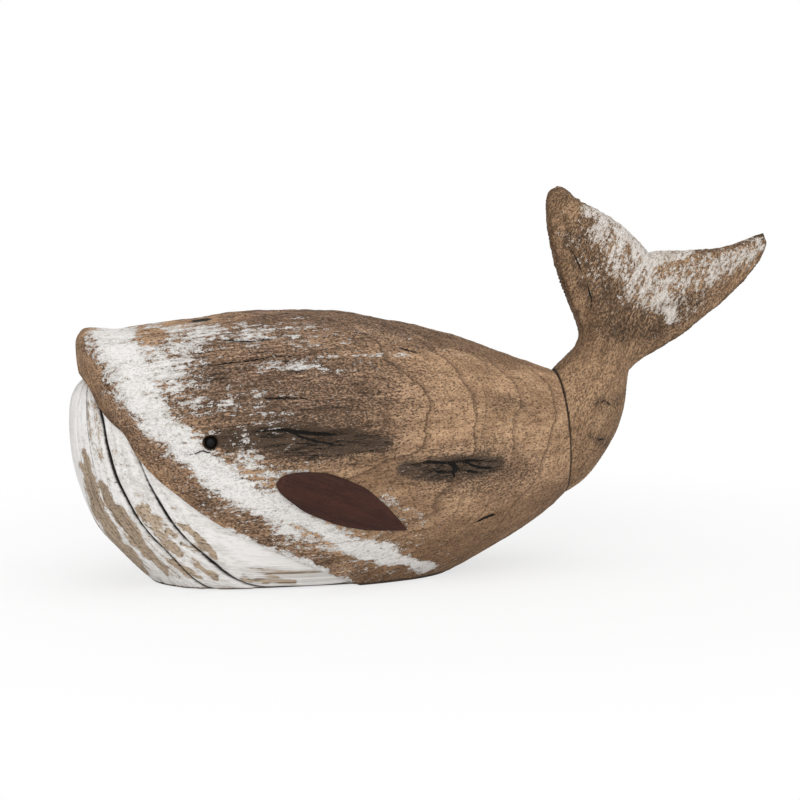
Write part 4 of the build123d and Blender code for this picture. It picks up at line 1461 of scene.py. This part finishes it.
@dataclass
class Tail:
    """Tail stock that butts against the body and spreads into two flukes, carved from one block.

    Attributes:
        runs: The outline in the side view as smooth runs from one corner to the next, in mm. The first
            run is the joint.
        middle: Point that sees the whole outline.
        spine: Line of the stock: X, Z, half breadth in the side view and half thickness.
        walls: Places of the points across the edge, as shares of the half thickness there.
        gap: Spacing of the points round the outline.
        rings_each_side: Rings on each face.
        crowding: How much closer the rings lie towards the outline, 1 being not at all.
        seam_radius: Round of the edge at the joint.
    """

    runs: tuple[tuple[tuple[float, float], ...], ...] = (
        ((77.6, 117.4), (80.2, 79.6), (82.9, 42.9)),
        ((82.9, 42.9), (94.3, 50.3), (106.4, 64.1), (112.1, 73.3), (117.5, 85.3), (120.5, 97.7), (122.5, 115.8)),
        ((122.5, 115.8), (130.8, 122.4), (143.2, 129.5), (155.6, 137.0), (168.0, 145.8), (180.4, 154.6),
         (192.8, 165.8), (199.0, 172.9), (205.0, 181.2), (208.6, 191.2), (206.6, 196.0)),
        ((206.6, 196.0), (198.6, 193.2), (186.1, 189.2), (173.6, 187.4), (154.8, 186.6), (142.4, 186.9),
         (134.9, 185.2)),
        ((134.9, 185.2), (129.9, 191.3), (120.5, 200.4), (111.2, 207.0), (98.8, 213.7), (89.6, 219.2),
         (81.6, 225.6), (78.6, 226.3)),
        ((78.6, 226.3), (74.3, 223.2), (71.9, 214.6), (72.6, 202.9), (75.8, 188.2), (80.8, 171.0), (87.1, 156.0),
         (91.5, 145.1), (93.4, 137.3), (91.6, 130.8), (85.5, 124.8), (77.6, 117.4)),
    )
    middle: tuple[float, float] = (107.0, 133.5)
    spine: tuple[tuple[float, float, float, float], ...] = (
        (80.2, 79.2, 37.0, 28.6), (90.0, 85.0, 34.0, 27.8), (100.0, 96.0, 27.0, 25.0), (106.0, 112.0, 19.5, 20.5),
        (108.0, 126.0, 16.0, 16.5),
    )
    walls: tuple[float, ...] = (0.6, 0.0, -0.6)
    gap: float = 1.12
    rings_each_side: int = 74
    crowding: float = 1.25
    seam_radius: float = 1.2

    def outline(self) -> tuple[np.ndarray, np.ndarray]:
        """Even points round the outline, and for each one the number of its run."""
        points, which = [], []
        for number, run in enumerate(self.runs):
            corners = np.array(run)
            at = running_length(corners[None])[0]
            count = max(2, int(round(at[-1] / self.gap)))
            places = np.linspace(0.0, at[-1], count, endpoint=False)
            points.append(np.stack([smooth_through(at, corners[:, axis], places) for axis in (0, 1)], axis=-1))
            which.append(np.full(count, number))
        return np.concatenate(points), np.concatenate(which)

    def edge_distance(self, points: np.ndarray, outline: np.ndarray, chosen: np.ndarray) -> np.ndarray:
        """Distance in the side view from points to every second step of the outline that is chosen."""
        best = np.full(points.shape[:-1], np.inf)
        following = np.roll(outline, -1, axis=0)
        steps = np.nonzero(chosen)[0][::2]
        for start, end in zip(outline[steps], following[steps]):
            best = np.minimum(best, segment_distance(points, start, end)[0])
        return best

    def stock(self, flat: np.ndarray, sides: np.ndarray) -> np.ndarray:
        """Half thickness of the stock at points of the side view, from their distance to the edge."""
        spine = np.array(self.spine)
        nearest = np.full(flat.shape[:-1], np.inf)
        breadth, thick = np.zeros(nearest.shape), np.zeros(nearest.shape)
        for start, end in zip(spine[:-1], spine[1:]):
            away, along = segment_distance(flat, start[:2], end[:2])
            closer = away < nearest
            nearest = np.where(closer, away, nearest)
            here = start + along[..., None] * (end - start)
            breadth, thick = np.where(closer, here[..., 2], breadth), np.where(closer, here[..., 3], thick)
        inward = np.clip(sides / breadth, 0.0, 1.0)
        return thick * np.sqrt(np.maximum(1.0 - (1.0 - inward) ** 2, 0.0))

    def half_thickness(
        self, flat: np.ndarray, outline: np.ndarray, which: np.ndarray
    ) -> tuple[np.ndarray, np.ndarray]:
        """Half thickness of the tail at points of the side view.

        The stock is an ellipse across: its half thickness times the root of 1 - (1 - d/b) squared, where
        d is the distance to the edge and b the stock's half breadth. A fluke is a board that thins from
        root to tip, with a flat bevel along its leading edge and a small round along its trailing edge.

        Args:
            flat: X and Z of the points.
            outline: Points of the outline.
            which: The run that each one belongs to.

        Returns:
            Half thickness in mm, and how much each point belongs to the flukes, from 0 to 1.
        """
        root_half, thinning, thinning_reach, thinnest = 13.2, 6.8, (8.0, 112.0), 0.8
        bevel_share, bevel_most, bevel_width = 0.55, 6.5, 13.0
        round_share, round_width, rim_depth, rim_width = 0.45, 7.0, 2.0, 2.2
        flukes_from, flukes_slant = (118.0, 146.0), 0.25
        sides = self.edge_distance(flat, outline, which != 0)
        leading = self.edge_distance(flat, outline, (which == 2) | (which == 5))
        trailing = self.edge_distance(flat, outline, (which == 3) | (which == 4))
        root = np.array(self.middle)
        board = root_half - thinning * smooth_step(*thinning_reach, np.linalg.norm(flat - root, axis=-1))
        bevel = np.minimum(bevel_share * board, bevel_most) * (1.0 - np.clip(leading / bevel_width, 0.0, 1.0))
        board = np.minimum(board, board - bevel)
        board = board - round_share * board * np.clip(1.0 - trailing / round_width, 0.0, 1.0) ** 2
        board = board - rim_depth * np.clip(1.0 - sides / rim_width, 0.0, 1.0) ** 2
        into_flukes = smooth_step(*flukes_from, flat[..., 1] + flukes_slant * (flat[..., 0] - root[0]))
        half = self.stock(flat, sides) * (1.0 - into_flukes) + board * into_flukes
        return np.maximum(half, thinnest), into_flukes

    def all_round(self, face: np.ndarray) -> np.ndarray:
        """Numbers of the left face, those at its edge again for the walls, and those of the right face."""
        return np.concatenate([face, np.repeat(face[-1:], len(self.walls), axis=0), face[::-1]])

    def build(self, material: bpy.types.Material) -> None:
        """Carves both faces from the middle out to the outline and closes them round the edge."""
        outline, which = self.outline()
        root = np.array(self.middle)
        shares = 1.0 - (1.0 - np.linspace(0.0, 1.0, self.rings_each_side + 1)[1:]) ** self.crowding
        flat = root + shares[:, None, None] * (outline - root)
        half, flukes = self.half_thickness(flat, outline, which)
        seam, rim = (self.edge_distance(flat, outline, chosen) for chosen in (which == 0, which > 1))
        half = half - rounding(seam, self.seam_radius)
        near = np.stack([flat[..., 0], -half, flat[..., 1]], axis=-1)
        walls = np.stack([near[-1] * np.array([1.0, share, 1.0]) for share in self.walls])
        rings = np.concatenate([near, walls, (near * MIRROR)[::-1]])
        flukes, seam, rim = (self.all_round(face) for face in (flukes, seam, rim))
        on_wall = np.zeros((len(rings), 1), dtype=bool)
        on_wall[len(near):-len(near)] = True
        turn = math.radians(TAIL_WOOD.turn)
        grainwise = np.stack([
            rings[..., 0] * math.cos(turn) + rings[..., 2] * math.sin(turn), rings[..., 1],
            rings[..., 2] * math.cos(turn) - rings[..., 0] * math.sin(turn),
        ], axis=-1)
        lump_height, rim_reach, seam_fade, rim_shade_reach, rim_shade_depth = 0.4, (4.0, 0.5), 3.0, (2.6, 0.6), 0.8
        rim_ragged, worn_pits, worn_flukes = 1.2, 0.6, 0.15
        drawing, pixels = Drawing(rings, TAIL_SHAKE), 4.0
        pitted = drawing.strongest(TAIL_PITS, pixels)
        chipped, at_rim = TAIL_CHIPS.at(grainwise), smooth_step(*rim_reach, rim)
        grain_height, chip_height = 0.10 + 0.18 * flukes, 0.12 + 0.45 * pitted + 0.22 * at_rim
        relief = lump_height * TAIL_LUMPS.at(rings) + grain_height * TAIL_GRAIN.at(grainwise)
        relief += chip_height * chipped
        # Painted shade near the flukes' outline, where the edges turn away from the light.
        painted_rim_shade = rim_shade_depth * smooth_step(*rim_shade_reach, rim + rim_ragged * chipped)
        # The stain mark takes painted shade along the joint with the trunk.
        marks = {
            "paint": drawing.strongest(TAIL_PAINT, pixels),
            "weather": np.maximum(worn_pits * pitted, worn_flukes * flukes),
            "stain": np.maximum(drawing.strongest(TAIL_STAINS, pixels), SEAM_SHADE * smooth_step(*SEAM_FADE, seam)),
            "tone_and_shade": -np.maximum(drawing.strongest(TAIL_TONES_AND_SHADE, pixels), painted_rim_shade),
            # Inside the checks, and on the whole face at the joint, the finish paints shade near black.
            "crack": np.where((which == 0) & on_wall, 0.0, drawing.checks(TAIL_CRACKS)[1]),
        }
        rings = rings + outward_normals(rings) * (relief * smooth_step(0.0, seam_fade, seam))[..., None]
        settle(closed_tube("carved_tail", rings, marks), material, "tail_wood", "tail")


TAIL_PAINT = (
    Stroke(((586, 208, 9), (600, 216, 12), (620, 228, 13), (636, 244, 12), (650, 256, 9)), 0.78),
    Stroke(((604, 232, 20), (626, 258, 27), (645, 282, 29), (664, 302, 22), (672, 314, 11)), 0.6),
    Stroke(((652, 260, 13), (672, 254, 10), (692, 252, 7)), 0.72),
    Stroke(((660, 275, 24), (690, 275, 26), (715, 270, 20), (738, 258, 15), (758, 245, 9)), 0.58),
    Patch(695, 292, 34, 16, -35, 0.5), Patch(650, 265, 95, 62, 20, 0.36), Patch(590, 235, 22, 30, 60, 0.36),
)
TAIL_PITS = (
    Stroke(((586, 236, 10), (598, 270, 16), (610, 300, 22), (624, 318, 26), (655, 322, 22), (700, 298, 10))),
    Patch(596, 225, 22, 30, 60, 0.7),
)
# Darker tones of the tail, with painted shade along the ridge of the left fluke's bevel and under the stock.
TAIL_TONES_AND_SHADE = (
    Stroke(((592, 270, 12), (606, 302, 22), (625, 326, 24), (660, 322, 20), (690, 305, 10)), 0.12),
    Stroke(((564, 214, 3), (573, 245, 4), (586, 270, 4), (591, 300, 5), (589, 335, 6)), 0.75),
    Stroke(((590, 470, 20), (615, 430, 14), (622, 395, 10)), 0.4), Patch(560, 480, 30, 20, 0, 0.4),
    Patch(557, 200, 12, 20, 10, 0.2),
)
TAIL_STAINS = (
    Patch(628, 332, 46, 12, 6, 0.22), Patch(603, 400, 18, 8, 0, 0.42), Patch(602, 440, 14, 7, 20, 0.4),
    Stroke(((566, 235, 3), (574, 262, 4), (588, 300, 4)), 0.4), Patch(557, 188, 10, 5, 20, 0.2),
    Patch(762, 238, 9, 6, -50, 0.55), Patch(566, 198, 9, 7, 40, 0.3),
)
TAIL_CRACKS = (
    Crack(((592, 405), (604, 400), (618, 410)), 0.4, 0.6), Crack(((569, 246), (576, 258), (583, 276)), 0.3),
    Crack(((588, 286), (591, 298), (591, 312)), 0.4),
    Crack(((596, 440), (606, 438)), 0.5),
)


# The fins.


FIN_GRAIN = Noise((30.0, 4.0, 9.0), 61, 3)


@dataclass
class Fin:
    """Leaf-shaped fin seated on each flank.

    Attributes:
        seat: Point of the left fin's seat line on the flank, at seat_share of the length, in mm.
        seat_share: Share of the length, from the nose end, at which the seat lies.
        length: Length along the fin.
        width: Breadth that the outline's shares refer to.
        droop: Degrees that the point hangs below the nose.
        turn: Degrees that it faces towards the head.
        tilt: Degrees that it faces up.
        proud: Height of its face over the flank.
        sunk: Depth of its back under the flank.
        below: Its lower edge as shares of length and width, counted down the flank.
        above: Its upper edge in the same way.
    """

    seat: tuple[float, float, float] = (-66.4, -63.0, 52.2)
    seat_share: float = 0.45
    length: float = 83.0
    width: float = 27.0
    droop: float = 22.5
    turn: float = -2.0
    tilt: float = -11.0
    proud: float = 3.6
    sunk: float = 2.5
    below: tuple[tuple[float, float], ...] = (
        (0.0, 0.0), (0.02, 0.08), (0.06, 0.16), (0.147, 0.26), (0.30, 0.375), (0.49, 0.40), (0.68, 0.33),
        (0.90, 0.12), (0.985, 0.035), (1.0, 0.01),
    )
    above: tuple[tuple[float, float], ...] = (
        (0.0, 0.0), (0.012, -0.13), (0.045, -0.25), (0.19, -0.47), (0.36, -0.575), (0.56, -0.55), (0.755, -0.375),
        (0.90, -0.16), (0.985, -0.02), (1.0, 0.01),
    )

    def build(self, material: bpy.types.Material) -> None:
        """Shapes both fins.

        A slice across the fin is a flattened oval: from the middle, the breadth is half the slice's own
        times the cosine to the power 0.9, and the height is the thickness times the sine to the power 0.45.
        """
        slices, around, breadth_power, height_power = 150, 96, 0.9, 0.45
        crown, widest, thin_under, grain_depth, other_fin = 0.9, 13.0, 5.0, 0.18, 400.0
        out = facing(self.turn, self.tilt)
        along, across = laid_on(out, self.droop)
        u = 0.5 - 0.5 * np.cos(np.linspace(0.02, math.pi - 0.02, slices))
        low, top = (self.width * smooth_through(*np.array(edge).T, u) for edge in (self.below, self.above))
        middle, half = ((low + top) / 2)[:, None], np.maximum((low - top) / 2, 0.05)[:, None]
        angle = np.linspace(0.0, 2 * math.pi, around, endpoint=False)
        cosine, sine = np.cos(angle), np.sin(angle)
        broad = np.sign(cosine) * np.abs(cosine) ** breadth_power
        high = np.abs(sine) ** height_power * np.where(sine > 0, self.proud, -self.sunk)
        taper = np.minimum(1.0, half / thin_under) ** 0.5
        b = middle + half * broad
        c = high * taper + crown * (half / widest) * np.maximum(sine, 0.0)
        a = np.broadcast_to(((u - self.seat_share) * self.length)[:, None], b.shape)
        left = np.array(self.seat) + a[..., None] * along + b[..., None] * across + c[..., None] * out
        grainwise = np.stack([a, b, c], axis=-1)
        for side, rings, apart in (("left", left, 0.0), ("right", left * MIRROR, other_fin)):
            relief = grain_depth * FIN_GRAIN.at(grainwise + apart)
            rings = rings + outward_normals(rings) * relief[..., None]
            settle(closed_tube(f"{side}_fin_leaf", rings, {}), material, "dark_fin_wood", f"{side}_fin")


# The setting.


@dataclass
class Studio:
    """White floor and soft frontal light.

    Attributes:
        floor_side: Side of the square floor, in metres.
        shadow_reach: Distances from the middle between which the floor goes over from a share of its own
            shading to plain white.
        shadow_share: That share.
        floor_grey: How much light the floor throws back.
        world_strength: Light from all round.
    """

    floor_side: float = 9.0
    shadow_reach: tuple[float, float] = (0.42, 0.18)
    shadow_share: float = 0.3
    floor_grey: float = 0.9
    world_strength: float = 0.62

    def lamp(self, name: str, place: tuple[float, float, float], aim: tuple[float, float, float], side: float,
             power: float) -> None:
        """Adds a square soft lamp.

        Args:
            name: The lamp's name.
            place: Where it stands, in metres.
            aim: The point that it faces.
            side: Length of its side.
            power: Power in watts.
        """
        data = bpy.data.lights.new(name, "AREA")
        data.shape, data.size, data.energy = "SQUARE", side, power
        back = np.array(place) - np.array(aim)
        back /= np.linalg.norm(back)
        right = np.cross((0.0, 0.0, 1.0), back)
        right /= np.linalg.norm(right)
        stand(name, data, np.stack([right, np.cross(back, right), back, np.array(place)], axis=1))

    def floor(self) -> None:
        """Lays the floor, which the camera sees as white but for a faint shadow round the whale."""
        white, half = (1.0, 1.0, 1.0, 1.0), self.floor_side / 2
        mesh = bpy.data.meshes.new("floor")
        corners = [(x * half, y * half, 0.0) for x, y in ((-1, -1), (1, -1), (1, 1), (-1, 1))]
        mesh.from_pydata(corners, [], [(0, 1, 2, 3)])
        floor = stand("floor", mesh)
        material, sheet = new_material("white floor")
        away = sheet.add("ShaderNodeVectorMath", {0: sheet.own_place()}, "Value", operation="LENGTH")
        share = sheet.looked_at() * (1.0 - away.step(*self.shadow_reach) * self.shadow_share)
        diffuse = sheet.add("ShaderNodeBsdfDiffuse", {"Color": (*[self.floor_grey] * 3, 1.0)})
        glow = sheet.add("ShaderNodeEmission", {"Color": white, "Strength": 1.0})
        shader = sheet.add("ShaderNodeMixShader", {0: share, 1: diffuse, 2: glow})
        sheet.node("ShaderNodeOutputMaterial", {"Surface": shader})
        mesh.materials.append(material)

    def surround(self) -> None:
        """Lights the whale from all round, with a background that the camera sees as white."""
        world = bpy.data.worlds.new("white surround")
        world.use_nodes = True
        sheet = Sheet(world.node_tree)
        strength = self.world_strength + sheet.looked_at() * (1.0 - self.world_strength)
        background = sheet.add("ShaderNodeBackground", {"Color": (1.0, 1.0, 1.0, 1.0), "Strength": strength})
        sheet.node("ShaderNodeOutputWorld", {"Surface": background})
        bpy.context.scene.world = world

    def build(self) -> None:
        """Lays the floor, lights it and sets the view settings."""
        self.floor()
        self.surround()
        self.lamp("front_lamp", (-0.9, -2.2, 1.1), (0.0, 0.0, 0.1), 1.6, 24.0)
        self.lamp("top_lamp", (0.3, -0.4, 2.4), (0.0, 0.0, 0.0), 2.2, 20.0)
        bpy.context.scene.view_settings.view_transform = "Standard"


def main() -> None:
    """Builds the whale piece by piece, then the setting."""
    logging.basicConfig(level=logging.INFO, format="%(name)s %(message)s")
    eye_material = EyeBead().material()
    Trunk().build(BODY_WOOD.material(), eye_material)
    Throat().build(THROAT_WOOD.material())
    Tail().build(TAIL_WOOD.material())
    Fin().build(FIN_WOOD.material())
    peg_material = PEG_WOOD.material()
    for name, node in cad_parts.items():
        if "peg" in name or "dowel" in name:
            node.data.materials.clear()
            node.data.materials.append(peg_material)
            LOG.info("%s: new finish", name)
    Studio().build()
    VIEW.place()


if __name__ == "__main__":
    main()
